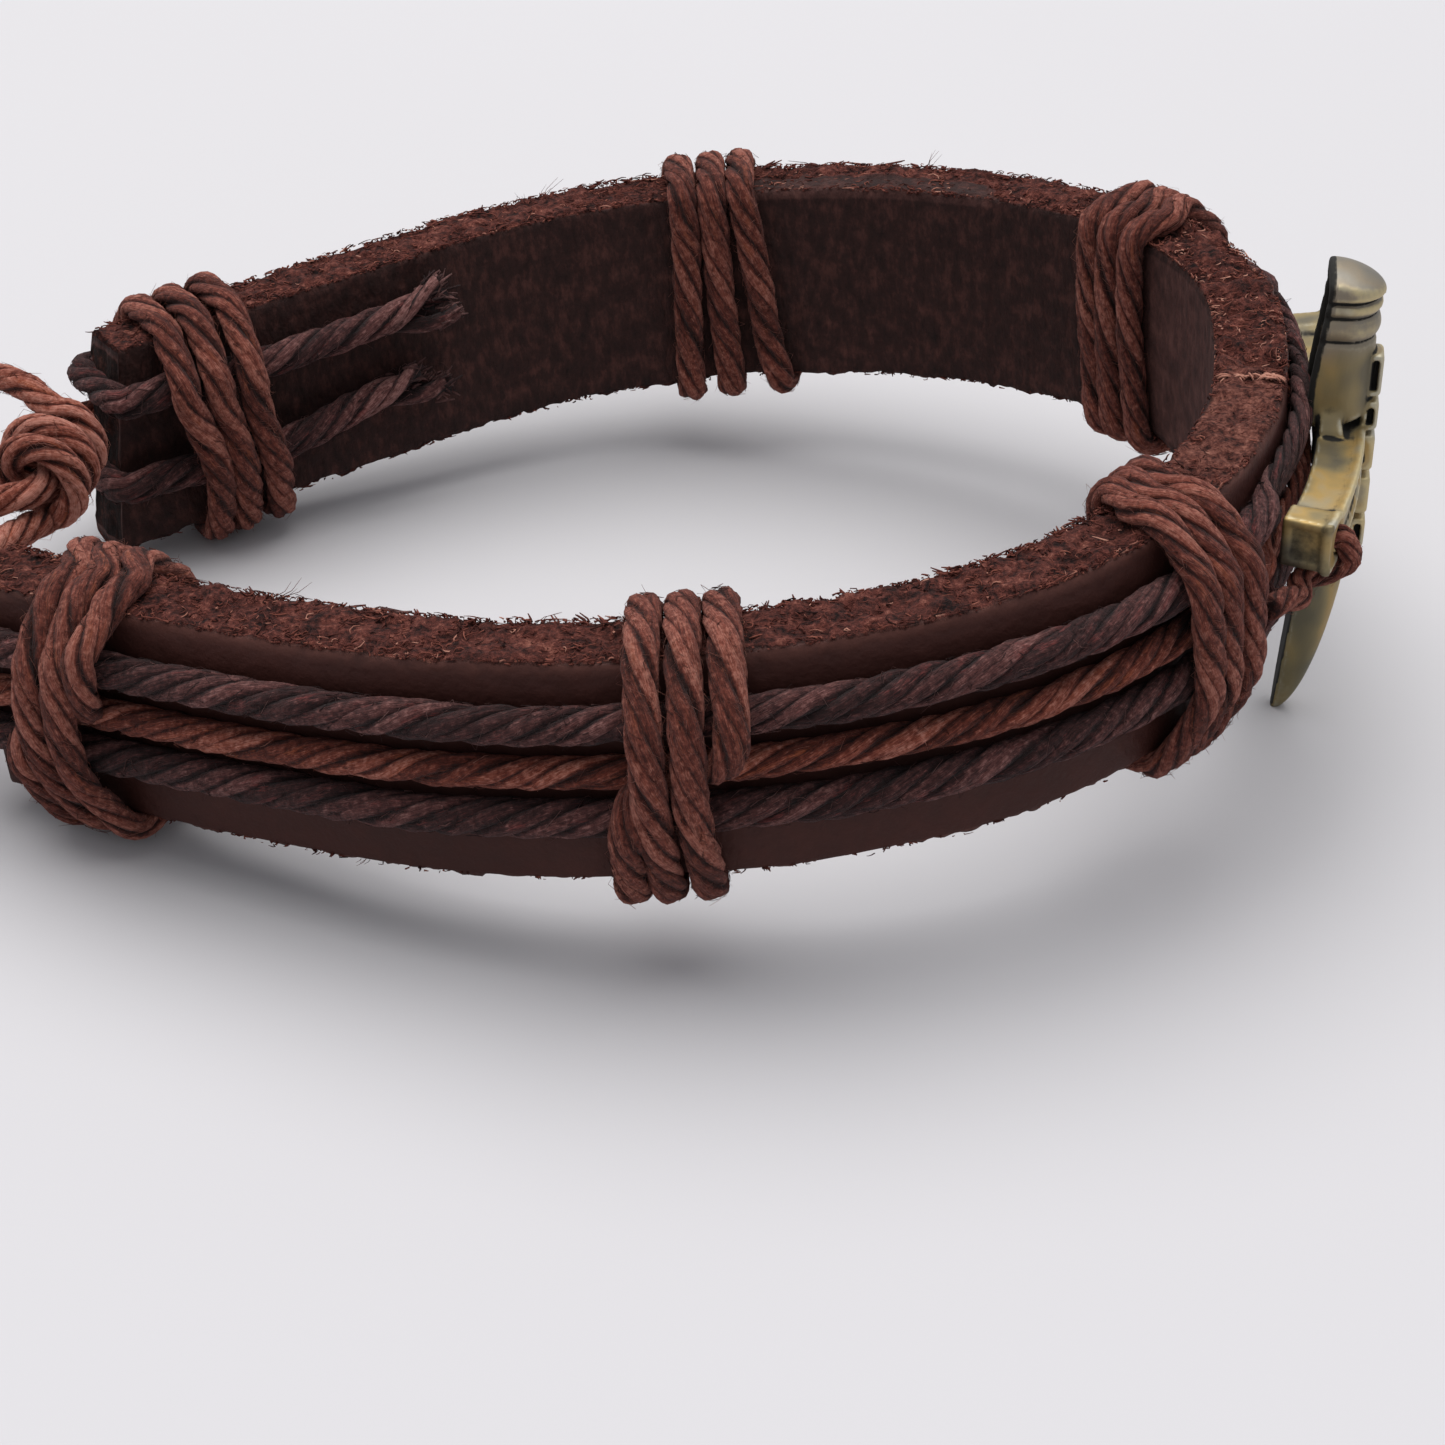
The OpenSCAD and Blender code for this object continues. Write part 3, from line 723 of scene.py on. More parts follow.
def lying_fibres():
    """Raw fibres on the cut edges, curled and matted, most of them lying flat."""
    skin = Skin()
    for z, up, count, seed in ((STRAP_W, 1, 6000, 1), (0, -1, 600, 2)):
        pick = np.random.default_rng(seed)
        s = pick.uniform(FIBRES_FROM, FIBRES_TO, count)
        s = s[pick.uniform(0, 1, count) > 0.72 * within(s, SUEDE, 3)]
        count = len(s)
        n = FACE * np.sin(pick.uniform(-np.pi / 2, np.pi / 2, count))
        long = np.clip(pick.gamma(2.2, 0.19, count) + 0.15, 0, 1.2)[:, None]
        rise = pick.uniform(0.0, 0.36, count)[:, None] ** 1.5
        t = np.linspace(0, 1, 4)[None]
        direction = pick.uniform(0, 2 * np.pi, (count, 1)) + pick.normal(0, 2.6, (count, 1)) * t
        run_s = np.cumsum(np.cos(direction), 1) / 4 * long
        run_n = np.cumsum(np.sin(direction), 1) / 4 * long
        lift = rise * long * np.sin(2.2 * t) - 0.05
        n = np.clip(n[:, None] + run_n, -FACE + 0.06, FACE - 0.06)
        paths = spot(s[:, None] + run_s, n, z + up * lift)
        radii = pick.uniform(0.025, 0.062, (count, 1)) * (1.1 - 0.7 * t)
        bright = pick.normal(0.44, 0.24, count) + 0.16 * within(s, PITTED)
        skin.fibres(paths, radii, np.clip(bright, 0, 1))
    torn_line(skin)
    skin.build("edge_fibres", FIBRES)


def torn_line(skin):
    """A pale torn line across the upper cut, between the smooth and the pitted stretch."""
    pick = np.random.default_rng(9)
    count = 26
    n = pick.uniform(-1.3, 1.5, (count, 1))
    t = np.linspace(-0.5, 0.5, 4)[None]
    s = SUEDE[1] - 0.4 + pick.normal(0, 0.1, (count, 1)) + pick.normal(0, 0.5, (count, 1)) * t
    long = pick.uniform(0.3, 0.8, (count, 1))
    paths = spot(s, n + t * long,
                 STRAP_W + 0.12 - 0.5 * t ** 2 + pick.normal(0, 0.03, (count, 1)))
    skin.fibres(paths, 0.07 * (1 - t ** 2) + 0 * s, pick.uniform(0.9, 1.05, count))


def border_tufts():
    """Ragged tufts along the borders of the cut edges, thicker on the inner border in front
    and on the outer one behind. Most are short clumps, and a few are long thin hairs."""
    skin = Skin()
    in_tuft = 4
    for side, z, up, each_mm, seed in ((-1, STRAP_W, 1, 3.6, 21), (1, STRAP_W, 1, 3.2, 22),
                                       (-1, 0, -1, 2.6, 23), (1, 0, -1, 2.2, 24)):
        pick = np.random.default_rng(seed)
        tufts = int(STRAP_LEN * each_mm)
        s = pick.uniform(FIBRES_FROM, FIBRES_TO, tufts)
        ragged = s < FRONT_TO if side < 0 else s > BACK_FROM
        keep = ragged | (pick.uniform(0, 1, tufts) < 0.55)
        s, ragged = s[keep], ragged[keep]
        tufts = len(s)
        size = np.clip(pick.gamma(1.5, 0.07, tufts) + 0.08, 0, 0.3)
        hair = pick.uniform(0, 1, tufts) < 0.02
        size = np.where(hair, size + pick.uniform(0.3, 0.9, tufts), size)
        size = np.where(ragged, size, 0.07 + 0.3 * size)
        s, lean, out, size, curl, hair = (np.repeat(v, in_tuft) for v in (
            s, pick.normal(0.2, 1.1, tufts), pick.normal(0.3, 0.5, tufts), size,
            pick.normal(0, 1.3, tufts), hair))
        count = len(s)
        s = (s + pick.normal(0, 0.12, count))[:, None]
        lean = (lean + pick.normal(0, 0.35, count))[:, None]
        out = (out + pick.normal(0, 0.25, count))[:, None]
        long = (size * pick.uniform(0.5, 1.1, count))[:, None]
        t = np.linspace(0, 1, 3)[None]
        curl = curl[:, None] * t ** 2
        n = side * (FACE - pick.uniform(0.05, 0.4, count))[:, None]
        paths = spot(s + (lean * t + curl) * long, n + side * (out * t - curl * 0.5) * long,
                     z + up * (0.9 * t * long - 0.2))
        base = np.where(hair, 0.024, np.clip(0.06 + 0.18 * long[:, 0], 0.07, 0.11))
        radii = (base * pick.uniform(0.7, 1.2, count))[:, None] * (1.0 - 0.7 * t)
        skin.fibres(paths, radii, np.clip(pick.normal(0.42, 0.16, count), 0, 0.8))
    skin.build("edge_tufts", FIBRES)


# Running cords
MAUVE_D = 1.9
MIDDLE_D = 1.64
UPPER_Z, MIDDLE_Z, LOWER_Z = 9.3, 6.65, 4.3
MAUVE_LAY, MIDDLE_LAY = 9.0, 8.0
TUCK_LEN = 20.0
PRESSED_W = 2.25
RAISE = 0.6
FRAY_LEN = 5.5
CORD_STEP = 0.37


def pressed(s):
    return within(s, CORDS_PRESSED)


def pressed_thick(s):
    """Least under the ends of the charm's arms, more behind its upright."""
    return 0.9 + 0.3 * bell(s, CHARM_AT, 5)


def outside_run(low, high, d, z, wobble):
    s = np.arange(low, high, 0.6)
    squash = pressed(s)
    if z == UPPER_Z:
        z = z + RAISE * within(s, UPPER_CORD_RAISED, 6)
    n = FACE + GAP + d / 2 * (1 - squash) + pressed_thick(s) / 2 * squash
    return spot(s, n + 0.03 * cloud_along(s, 0, z * 3, 5, wobble),
                z + 0.09 * cloud_along(s, 0, z * 3, 6, wobble + 1))


def turn_round(s, z, way, d):
    """The cord's turn round one end of the strip; way is 1 at the back end."""
    r = GAP + d / 2
    out, side = outwards(s), ahead(s)
    base = spot(s, 0, z)
    past = 0.3 * r
    steps = [(base + side * way * past * math.sin(a), out * (FACE + r * math.cos(a)))
             for a in np.radians([20, 50, 80])]
    return np.array([at + away for at, away in steps] + [at - away for at, away in steps[::-1]])


def mauve_route(z, wobble, drop, rise):
    last = float(back_end(z))
    outside = outside_run(0.9, last - 0.6, MAUVE_D, z, wobble)
    tuck_s = np.linspace(0.9, TUCK_LEN, 9)
    lift = rise * ease((tuck_s - 8) / 12) - drop * ease((tuck_s - 2) / 6)
    n = -(FACE + GAP + MAUVE_D / 2)
    front = spot(tuck_s, n, z + lift)[::-1]
    back = spot(last - tuck_s, n, z + lift)
    points = np.vstack([front, turn_round(0.0, z, -1, MAUVE_D)[::-1], outside,
                        turn_round(last, z, 1, MAUVE_D), back])
    return through(points, CORD_STEP)


def strap_length_of(route):
    """The length along the strip nearest each point of a route, and how far away that is."""
    s = np.linspace(0, STRAP_LEN, 800)
    line = spot(s, FACE, 0)[:, :2]
    gap = ((route[:, None, :2] - line[None]) ** 2).sum(-1)
    return s[gap.argmin(1)], np.sqrt(gap.min(1))


def flattened(route, d):
    """A running cord's width and thickness, which change where the charm presses on it."""
    s, away = strap_length_of(route)
    squash = pressed(s) * (away < d)
    return d + (PRESSED_W - d) * squash, d + (pressed_thick(s) - d) * squash


def fraying(amount, seeds, strips=(None, None)):
    """Each ply's drift near both ends, where the cut cord comes undone, but not into the
    strip, which lies in the directions given."""
    drifts = []
    for seed, strip in zip(seeds, strips):
        pick = np.random.default_rng(seed)
        ways = unit(pick.normal(0, 1, (PLIES, 3)) * np.array([1, 1, 1.6])) * amount
        if strip is not None:
            ways -= strip * np.maximum(dot(ways, strip), 0) * 1.4
        drifts.append(ways)

    def spread(ply, at, total):
        drift, slim = 0, 1
        for ways, from_end in zip(drifts, (at, total - at)):
            t = ease(1 - from_end / FRAY_LEN)
            drift = drift + ways[ply] * (t ** 1.5)[:, None]
            slim = slim * (1 - 0.05 * t)
        return drift, slim
    return spread


def end_brushes(skin, cord, seeds, each):
    """A brush of fibres at each ply's two cut ends."""
    for end, seed in enumerate(seeds):
        pick = np.random.default_rng(seed)
        t = np.linspace(0, 1, 4)
        for tips in cord.tips:
            tip, way = tips[end]
            way = unit(way)
            origin = tip + pick.normal(0, 0.26, (each, 3)) - way * pick.uniform(0.2, 1.2, (each, 1))
            heading = unit(way + pick.normal(0, 0.2, (each, 3)))
            bend = pick.normal(0, 0.35, (each, 3))
            long = pick.uniform(0.4, 1.0, each)[:, None]
            paths = (origin[:, None] + heading[:, None] * (long * t)[..., None]
                     + bend[:, None] * (long * t ** 2 * 0.6)[..., None])
            radii = pick.uniform(0.07, 0.13, (each, 1)) * (1.05 - 0.6 * t)
            skin.fibres(paths, radii, pick.uniform(0.25, 0.95, each))


def make_mauve(name, z, wobble, drop, rise, seed, node):
    route = mauve_route(z, wobble, drop, rise)
    wide, thick = flattened(route, MAUVE_D)
    up = np.broadcast_to(np.array([0, 0, 1.0]), route.shape)
    cord = Cord(route, wide, thick, up, MAUVE_LAY, seed)
    skin = Skin()
    spread = fraying(1.3, (seed + 40, seed + 50),
                     (outwards(TUCK_LEN), outwards(STRAP_LEN - TUCK_LEN)))
    # The last 12 mm at each end are paler: painted light on the frayed ends, which lie in shade
    from_end = np.minimum(cord.at, cord.at[-1] - cord.at)
    cord.plies(skin, 0.45 + 0.25 * ease(1 - from_end / 12), spread, (0, 4, 2, 3, 1))
    cord.fluff(skin, 1000, (0.3, 1.1), (0.01, 0.12), seed, (0.2, 0.85), 0.028)
    cord.fluff(skin, 900, (0.3, 1.0), (0.05, 0.4), seed + 5, (0.2, 0.8), 0.014)
    end_brushes(skin, cord, (seed + 60, seed + 70), 34)
    skin.build(name, MAUVE, node)


# The closure, as the solids have it: each end of the middle cord goes through the knot
# beside it and is wound round the other end in the far knot
COIL_R = 1.95
KNOT_PITCH = 1.87
BACK_COUNT, FRONT_COUNT = 2.5, 3
KNOTTED_LEN = 60


def knot_line(start, way, count):
    start = np.array(start, float)
    return [start, start + unit(np.array(way, float)) * count * KNOT_PITCH]


def coil(ends, side, count, hand):
    a, b = ends
    axis = unit(b - a)
    side = np.array(side, float)
    u = unit(side - axis * (side @ axis))
    v = np.cross(axis, u) * hand
    steps = int(10 * count)
    k = np.arange(steps + 1)
    angle = np.radians(36 * k)[:, None]
    return a + (b - a) * (k / steps)[:, None] + (u * np.cos(angle) + v * np.sin(angle)) * COIL_R


def middle_route():
    last = STRAP_LEN
    n = FACE + GAP + MIDDLE_D / 2
    back_out = spot(last, n, MIDDLE_Z) + ahead(last) * 0.6
    front_out = spot(0, n, MIDDLE_Z) - ahead(0) * 0.8
    back_knot = knot_line([-33.8, 29.8, 9.2], [-0.7, -4.6, -0.5], BACK_COUNT)
    front_knot = knot_line([-38.5, 14.3, 7.6], [0.9, 4.8, 0.2], FRONT_COUNT)
    back_tail = [[-35.4, 31, 12], [-37.2, 32.2, 12.1], [-40.2, 33.8, 11.9], [-43.6, 35.6, 11.4]]
    front_tail = [[-41, 13, 9.4], [-42.8, 11.8, 9.6], [-45, 10.4, 9.2], [-47.4, 9, 8.4]]
    back_lead = [[-35.9, 35.3, 6.9], [-35.3, 33.9, 6.9], [-34.9, 32.3, 7.3], [-34.3, 31, 8.1]]
    back_part = np.vstack([back_out, back_lead, back_knot, [[-38.6, 23.1, 8.9]],
                           coil(front_knot[::-1], [-1, 0, 0.6], FRONT_COUNT, 1), front_tail])
    front_part = np.vstack([front_out, [[-37.6, 10.7, 6.9], [-38.6, 12, 7.1], [-38.8, 13.2, 7.4]],
                            front_knot, [[-36.3, 22.6, 7.2]],
                            coil(back_knot[::-1], [0, 0, -1], BACK_COUNT, -1), back_tail])
    outside = outside_run(1.2, back_end(MIDDLE_Z) - 1.0, MIDDLE_D, MIDDLE_Z, 21)
    return through(np.vstack([front_part[::-1], outside, back_part]), CORD_STEP)


def make_middle():
    route = middle_route()
    wide, thick = flattened(route, MIDDLE_D)
    s, away = strap_length_of(route)
    anchor = int(np.flatnonzero((pressed(s) > 0) & (away < MIDDLE_D))[0])
    onward = sides_along(route[anchor:])[0]
    backward = sides_along(route[:anchor + 1][::-1])[0][::-1]
    cord = Cord(route, wide, thick, np.vstack([backward[:-1], onward]), MIDDLE_LAY, 3)
    skin = Skin()
    total = cord.at[-1]
    knotted = 1 - (ease((cord.at - KNOTTED_LEN) / 12)
                   * ease((total - KNOTTED_LEN - cord.at) / 12))
    cord.plies(skin, 0.45 + 0.22 * knotted, fraying(0.5, (81, 82)), (0, 3, 1, 2, 0))
    cord.fluff(skin, 1000, (0.3, 1.1), (0.01, 0.1), 9, (0.2, 0.8), 0.024)
    for seed, span in ((10, (0, KNOTTED_LEN)), (11, (total - KNOTTED_LEN, total))):
        cord.fluff(skin, 900, (0.3, 1.2), (0.03, 0.4), seed, (0.5, 1.0), 0.014, span)
    end_brushes(skin, cord, (91, 92), 24)
    skin.build("middle_cord", MIDDLE, "cord_middle")


# Bindings
BIND_W, BIND_T, BIND_LAY = 1.78, 1.42, 9.0
OVER_N = 4.6

# The wound cord's way over the bare leather and over the running cords: how far out it lies,
# and at what height
PLAIN = [(0, 12.58), (1.4, 12.54), (2.15, 12.25), (2.5, 11.6), (2.56, 9), (2.56, 6), (2.56, 3),
         (2.5, 0.35), (2.15, -0.25), (1.4, -0.54), (0, -0.58)]
OVER = [(0, 12.58), (1.4, 12.54), (2.3, 12.2), (3.4, 11.15), (4.35, 10.1), (4.6, 9), (4.6, 6.8),
        (4.6, 4.6), (4.35, 3.5), (3.45, 1.6), (2.4, -0.15), (1.4, -0.54), (0, -0.58)]

# Each binding: the side that shows, whether tucked ends lie under it, and for each of its
# turns the length along the strip at falling heights
HEIGHTS = (13, 9, 6, 3, -1)
BINDINGS = {
    "front_left": (1, True, [(5.9, 5.7, 5.4, 5.5, 5.9), (7.4, 7.3, 7.1, 7.2, 7.8),
                             (9.2, 8.6, 8, 4, 4.1)]),
    "front_middle": (1, False, [(34.6, 34.6, 34.6, 34.7, 34.7), (36.4, 36.3, 36.2, 36.4, 36.5),
                                (38.2, 38.0, 37.0, 33.5, 33.1)]),
    "front_right": (1, False, [(58.8, 58.7, 58.9, 58.8, 58.1), (60.1, 60.0, 60.0, 60.0, 59.3),
                               (61.5, 61.6, 61.6, 61.4, 60.6)]),
    "back_right": (-1, False, [(96.8, 96.9, 96.9, 96.7, 96.5), (95.1, 95.3, 95.4, 95.3, 95.1),
                               (93.1, 93.3, 93.3, 92.9, 92.5)]),
    "back_middle": (-1, False, [(123.9, 124.0, 124.2, 124.4, 124.5),
                                (122.1, 122.1, 122.1, 122.0, 121.9),
                                (120.4, 119.9, 119.6, 119.3, 118.5)]),
    "back_left": (-1, True, [(156.4, 156.8, 156.1, 155.8, 155.7),
                             (154.5, 154.9, 154.5, 154.2, 153.9),
                             (152.4, 152.9, 152.7, 152.2, 151.7)]),
}
# Where the last turn passes behind the other two: length, height and how far it is sunk
BEHIND = {
    "front_left": [(8.95, 11.2, 0), (8.7, 10, 0), (8.5, 8.8, 0.1), (8.1, 7.8, 0.6), (7.2, 7.1, 1.3),
                   (6.0, 6.8, 1.4), (5.0, 6.3, 0.9), (4.3, 5.4, 0.3), (4.0, 4.2, 0)],
    "front_middle": [(38.1, 9.4, 0), (37.9, 8.4, 0), (37.4, 7.5, 0.4), (36.6, 6.9, 1.2),
                     (35.6, 6.6, 1.4), (34.8, 6.5, 1.4), (34.1, 6.1, 0.8), (33.65, 5.4, 0.2),
                     (33.45, 4.4, 0)],
}
# How far along each turn has gone by the time it is over the top
TOP_LEAN = {"front_left": (-1.1, -1.1, -1.1), "front_right": (1.1, 1.0, 0.9),
            "back_right": (0, 0.5, 1.0)}
# How much the turns in front of it bulge over it, and at what height
BULGE, BULGE_Z = 0.3, 7.2


def plain_turn(profile, places, bulged):
    """A turn on the side that shows, as lengths, distances out and heights."""
    n, z = profile.T
    known = through(np.stack([HEIGHTS, places], 1), 0.3)
    bulge = BULGE * bell(z, BULGE_Z, 1.9) if bulged else 0
    return np.stack([np.interp(-z, -known[:, 0], known[:, 1]), n + bulge, z], 1)


def turn_behind(profile, places, route):
    """The last turn of a binding that passes behind the other two on its way down."""
    above = profile[profile[:, 1] > route[0][1] + 0.5]
    below = profile[profile[:, 1] < route[-1][1] - 0.5]
    s_above = np.interp(above[:, 1], [route[0][1], 13], [route[0][0], places[0]])
    s_below = np.interp(below[:, 1], [-1, route[-1][1]], [places[4], route[-1][0]])
    behind = np.array([(s, OVER_N - sunk, z) for s, z, sunk in route])
    behind[0, 1] -= 0.2 * max(0, route[0][1] - 10)
    return np.vstack([np.column_stack([s_above, above]), behind, np.column_stack([s_below, below])])


def binding_route(name):
    """Down the side that shows, under the strip, and up the other side to the next turn, with
    both ends tucked into the strip's lower edge."""
    way, over_tucks, turns = BINDINGS[name]
    behind = BEHIND.get(name)
    shown_side = through(OVER if way == 1 or over_tucks else PLAIN, 0.7)
    other_side = through(OVER if way == -1 or over_tucks else PLAIN, 0.9)
    feet = [places[4] for places in turns]
    tops = [places[0] + lean for places, lean in zip(turns, TOP_LEAN.get(name, (0, 0, 0)))]

    def rising(foot, top, profile):
        return [spot(foot + (top - foot) * ease((z + 1) / 14), -way * n, z) for n, z in profile]

    start = 2 * feet[0] - feet[1]
    points = [spot(start, -way * (FACE - 0.9), 0.9)]
    points += rising(start, tops[0], other_side[-5:1:-1])
    for k, places in enumerate(turns):
        last = k == len(turns) - 1
        shown = (turn_behind(shown_side, places, behind) if behind and last
                 else plain_turn(shown_side, places, behind))
        points += [spot(s, way * n, z) for s, n, z in shown]
        if not last:
            points += rising(feet[k], tops[k + 1], other_side[-2:1:-1])
    points += [spot(feet[-1], -way * n, z) for n, z in ((0.8, -0.5), (1.1, 0.3), (1.1, 1.4))]
    return through(np.array(points), CORD_STEP)


def make_binding(name, seed):
    route = binding_route(name)
    s, _ = strap_length_of(route)
    cord = Cord(route, BIND_W, BIND_T, ahead(s), BIND_LAY, seed, seed * 0.7)
    skin = Skin()
    cord.plies(skin)
    cord.fluff(skin, 600, (0.3, 1.0), (0.01, 0.1), seed, (0.2, 0.75), 0.024)
    cord.fluff(skin, 900, (0.3, 0.9), (0.05, 0.4), seed + 3, (0.4, 0.95), 0.014)
    skin.build("wound_" + name, ORANGE, "binding_" + name)


# The cast charm, in its own frame: x outwards, y along its arms, z up its upright
CHARM_N, CHARM_Z, CHARM_LEAN = 3.22, 7.6, 4.2
UPRIGHT_W, UPRIGHT_DEPTH = 3.2, 2.5
BAR_R, BAR_LEN, BAR_H, BAR_T, BAR_RAISE = 38.0, 22.6, 2.0, 2.2, 0.2
BAR_ROUND = 0.14
HOLE_Y, HOLE_D = 9.9, 1.7
# The raised beads on its front: lowest and highest point, and whether a slot is cut in each side
RELIEF = [(2.8, 5.2, 1), (0.9, 2.6, 1), (-1.4, 0.7, 0), (-3.9, -1.7, 0), (-5.9, -4.1, 1)]
SLOT_SHORTER = 0.42
HORN_TOP, HORN_TURN_Z, HORN_TURN, HORN_TIP = -4.6, -5.2, 4.5, -16.5
# The box round it in which its surface is looked for
CHARM_LOW, CHARM_HIGH, CHARM_STEP = (-2.6, -12.2, -17.2), (3.9, 12.2, 10.4), 0.135
CHARM_TURN = turning(2, math.degrees(float(heading_at(CHARM_AT))) - 90) @ turning(1, CHARM_LEAN)


def charm_to_ring(points):
    return points @ CHARM_TURN.T + spot(CHARM_AT, CHARM_N, CHARM_Z)


def box_gap(values, halves):
    """Distance to a box, from its centred coordinates."""
    q = np.stack([np.abs(v) - h for v, h in zip(values, halves)])
    return np.linalg.norm(np.maximum(q, 0), axis=0) + np.minimum(q.max(0), 0)


def joined(a, b, soft):
    h = np.clip(0.5 + 0.5 * (b - a) / soft, 0, 1)
    return b + (a - b) * h - soft * h * (1 - h)


def carved(a, b, soft):
    return -joined(-a, b, soft)


def d_shape(x, y, half_w, depth):
    """A half-round bar, flat at x = 0."""
    round_part = np.hypot(np.maximum(x - (depth - half_w), 0), y) - half_w
    return -joined(-round_part, x, 0.18)


def upright_back(z):
    """How far the upright's hollow back stands behind the cross's own plane."""
    return 0.62 * ease((z + 2.5) / 4) * (1 - 0.8 * ease((z - 3) / 6))


def charm_upright(x, y, z):
    """The shaft with its rings and grooves, rounded off at the cap."""
    swell = (-0.16 * bell(z, 6.12, 0.13) + 0.14 * bell(z, 6.75, 0.4) - 0.2 * bell(z, 7.42, 0.1)
             + 0.14 * bell(z, 7.85, 0.3) - 0.2 * bell(z, 8.22, 0.1) + 0.24 * ease((z - 8.25) / 0.2))
    behind = upright_back(z)
    shaft = d_shape(x + behind, y, UPRIGHT_W / 2 + swell, UPRIGHT_DEPTH + behind + swell)
    dome = np.sqrt(x ** 2 + y ** 2 + (z - 5.4) ** 2) - 4.25
    return -joined(-shaft, -np.maximum(dome, HORN_TURN_Z - 0.4 - z), 0.22)


def charm_horn(x, y, z):
    """The lower arm, which turns inwards and comes to a point."""
    c, s = math.cos(math.radians(HORN_TURN)), math.sin(math.radians(HORN_TURN))
    down = z - HORN_TURN_Z
    x, z = x * c - down * s, x * s + down * c + HORN_TURN_Z
    t = np.clip((-5 - z) / (-5 - HORN_TIP), 0, 1)
    depth = 2.4 * np.sqrt(np.maximum(1 - t ** 2.1, 0.004))
    half = np.maximum(1.56 * np.sqrt(np.maximum(1 - t ** 2.4, 0.0)), 0.12)
    half = np.minimum(half, depth * 0.8 + 0.1)
    return np.maximum(d_shape(x, y, half, depth) * 0.9, np.maximum(z - HORN_TOP, HORN_TIP - z))


def charm_bar(x, y, z):
    """The bent crossbar, flared at its ends, with a sunk panel in each end and two rims."""
    out = np.hypot(x + BAR_R, y) - BAR_R
    along = np.arctan2(y, x + BAR_R) * BAR_R
    z = z - BAR_RAISE
    flare = ease((np.abs(along) - BAR_LEN / 2 + 2.1) / 0.7)
    tall = BAR_H / 2 + 0.3 * flare
    hollow = 0.06 * (1 - flare) * bell(out, BAR_T / 2, 0.55)
    bar = box_gap((out - BAR_T / 2, along, z),
                  (BAR_T / 2 - BAR_ROUND + 0.12 * flare, BAR_LEN / 2 - BAR_ROUND,
                   tall - BAR_ROUND - hollow)) - BAR_ROUND
    panel = box_gap((np.abs(along) - BAR_LEN / 2, out - BAR_T / 2, z),
                    (0.08, BAR_T / 2 - 0.42, BAR_H / 2 - 0.2)) - 0.05
    rim = box_gap((out - BAR_T, np.abs(z) - tall + 0.12, along), (0.12, 0.12, BAR_LEN / 2)) - 0.1
    return joined(carved(bar, panel, 0.08), rim, 0.1)


def charm_gusset(x, y, z):
    """The thin web in the four corners of the cross."""
    z = np.abs(z - BAR_RAISE)
    web = np.maximum((z * 0.8 + np.abs(y) * 1.35 - 3.9) * 0.62,
                     np.maximum(x - 1.55 + 0.25 * z, -x))
    return np.maximum(web, np.abs(y) - 2.2)


def charm_bead(x, y, z, low, high, slotted):
    z, half = z - (low + high) / 2, (high - low) / 2
    bead = box_gap((x - UPRIGHT_DEPTH - 0.03, y, z), (0.22, 0.6, half - 0.26)) - 0.22
    if not slotted:
        return bead
    slot = box_gap((x - UPRIGHT_DEPTH - 0.08, np.abs(y) - 1.25, z), (0.1, 1.0, half - SLOT_SHORTER))
    return carved(bead, slot - 0.06, 0.05)


def charm_hollow(x, y, z, horn):
    """The hollow in its back, from under the cap down into the horn."""
    inside = d_shape(x + 0.6, y, UPRIGHT_W / 2 - 0.4, 1.7)
    inside = np.maximum(inside, np.maximum(z - 8.7, -13 - z))
    inside = np.where(z < HORN_TURN_Z, np.maximum(horn + 0.45, x - 0.55), inside)
    return np.maximum(inside, x - 1.05)


def charm_field(x, y, z):
    """Below 0 inside the charm."""
    horn = charm_horn(x, y, z)
    cross = joined(charm_upright(x, y, z), charm_bar(x, y, z), 0.2)
    cross = joined(cross, charm_gusset(x, y, z), 0.12)
    cross = joined(cross, horn, 0.15)
    for low, high, slotted in RELIEF:
        cross = joined(cross, charm_bead(x, y, z, low, high, slotted), 0.1)
    cross = carved(cross, charm_hollow(x, y, z, horn), 0.1)
    for side in (-1, 1):
        cross = carved(cross, np.hypot(y - side * HOLE_Y, z) - HOLE_D / 2, 0.2)
    return cross


def surface_nets(field, low, step, shape):
    """The surface where a sampled field is 0: one point in each cell that it crosses, and one
    quad round each crossed edge."""
    inside = field < 0
    corners = list(itertools.product((0, 1), repeat=3))

    def part(array, corner):
        return array[tuple(slice(c, c + n - 1) for c, n in zip(corner, shape))]

    signs = sum(part(inside, c).astype(np.int8) for c in corners)
    active = (signs > 0) & (signs < 8)
    cells = np.argwhere(active)
    number = -np.ones(active.shape, np.int64)
    number[active] = np.arange(len(cells))
    total, hits = np.zeros((len(cells), 3)), np.zeros(len(cells))
    for a, b in itertools.combinations(corners, 2):
        if sum(abs(p - q) for p, q in zip(a, b)) != 1:
            continue
        fa, fb = part(field, a)[active], part(field, b)[active]
        crossed = (fa < 0) != (fb < 0)
        share = np.where(crossed, fa / np.where(crossed, fa - fb, 1), 0)[:, None]
        at = np.array(a) + (np.array(b) - np.array(a)) * share
        total += np.where(crossed[:, None], at, 0)
        hits += crossed
    points = low + (cells + total / hits[:, None]) * step
    quads = []
    for axis in range(3):
        onward = [slice(1, -1)] * 3
        onward[axis] = slice(2, None)
        a, b = inside[1:-1, 1:-1, 1:-1], inside[tuple(onward)]
        for out_first, mask in ((True, a & ~b), (False, ~a & b)):
            at = np.argwhere(mask) + 1
            if not len(at):
                continue
            u, v = [np.eye(3, dtype=int)[k] for k in range(3) if k != axis]
            if axis == 1:
                u, v = v, u
            ring = [at - u - v, at - v, at, at - u]
            found = np.stack([number[tuple(r.T)] for r in ring], 1)
            quads.append(found if out_first else found[:, ::-1])
    return points, np.vstack(quads)


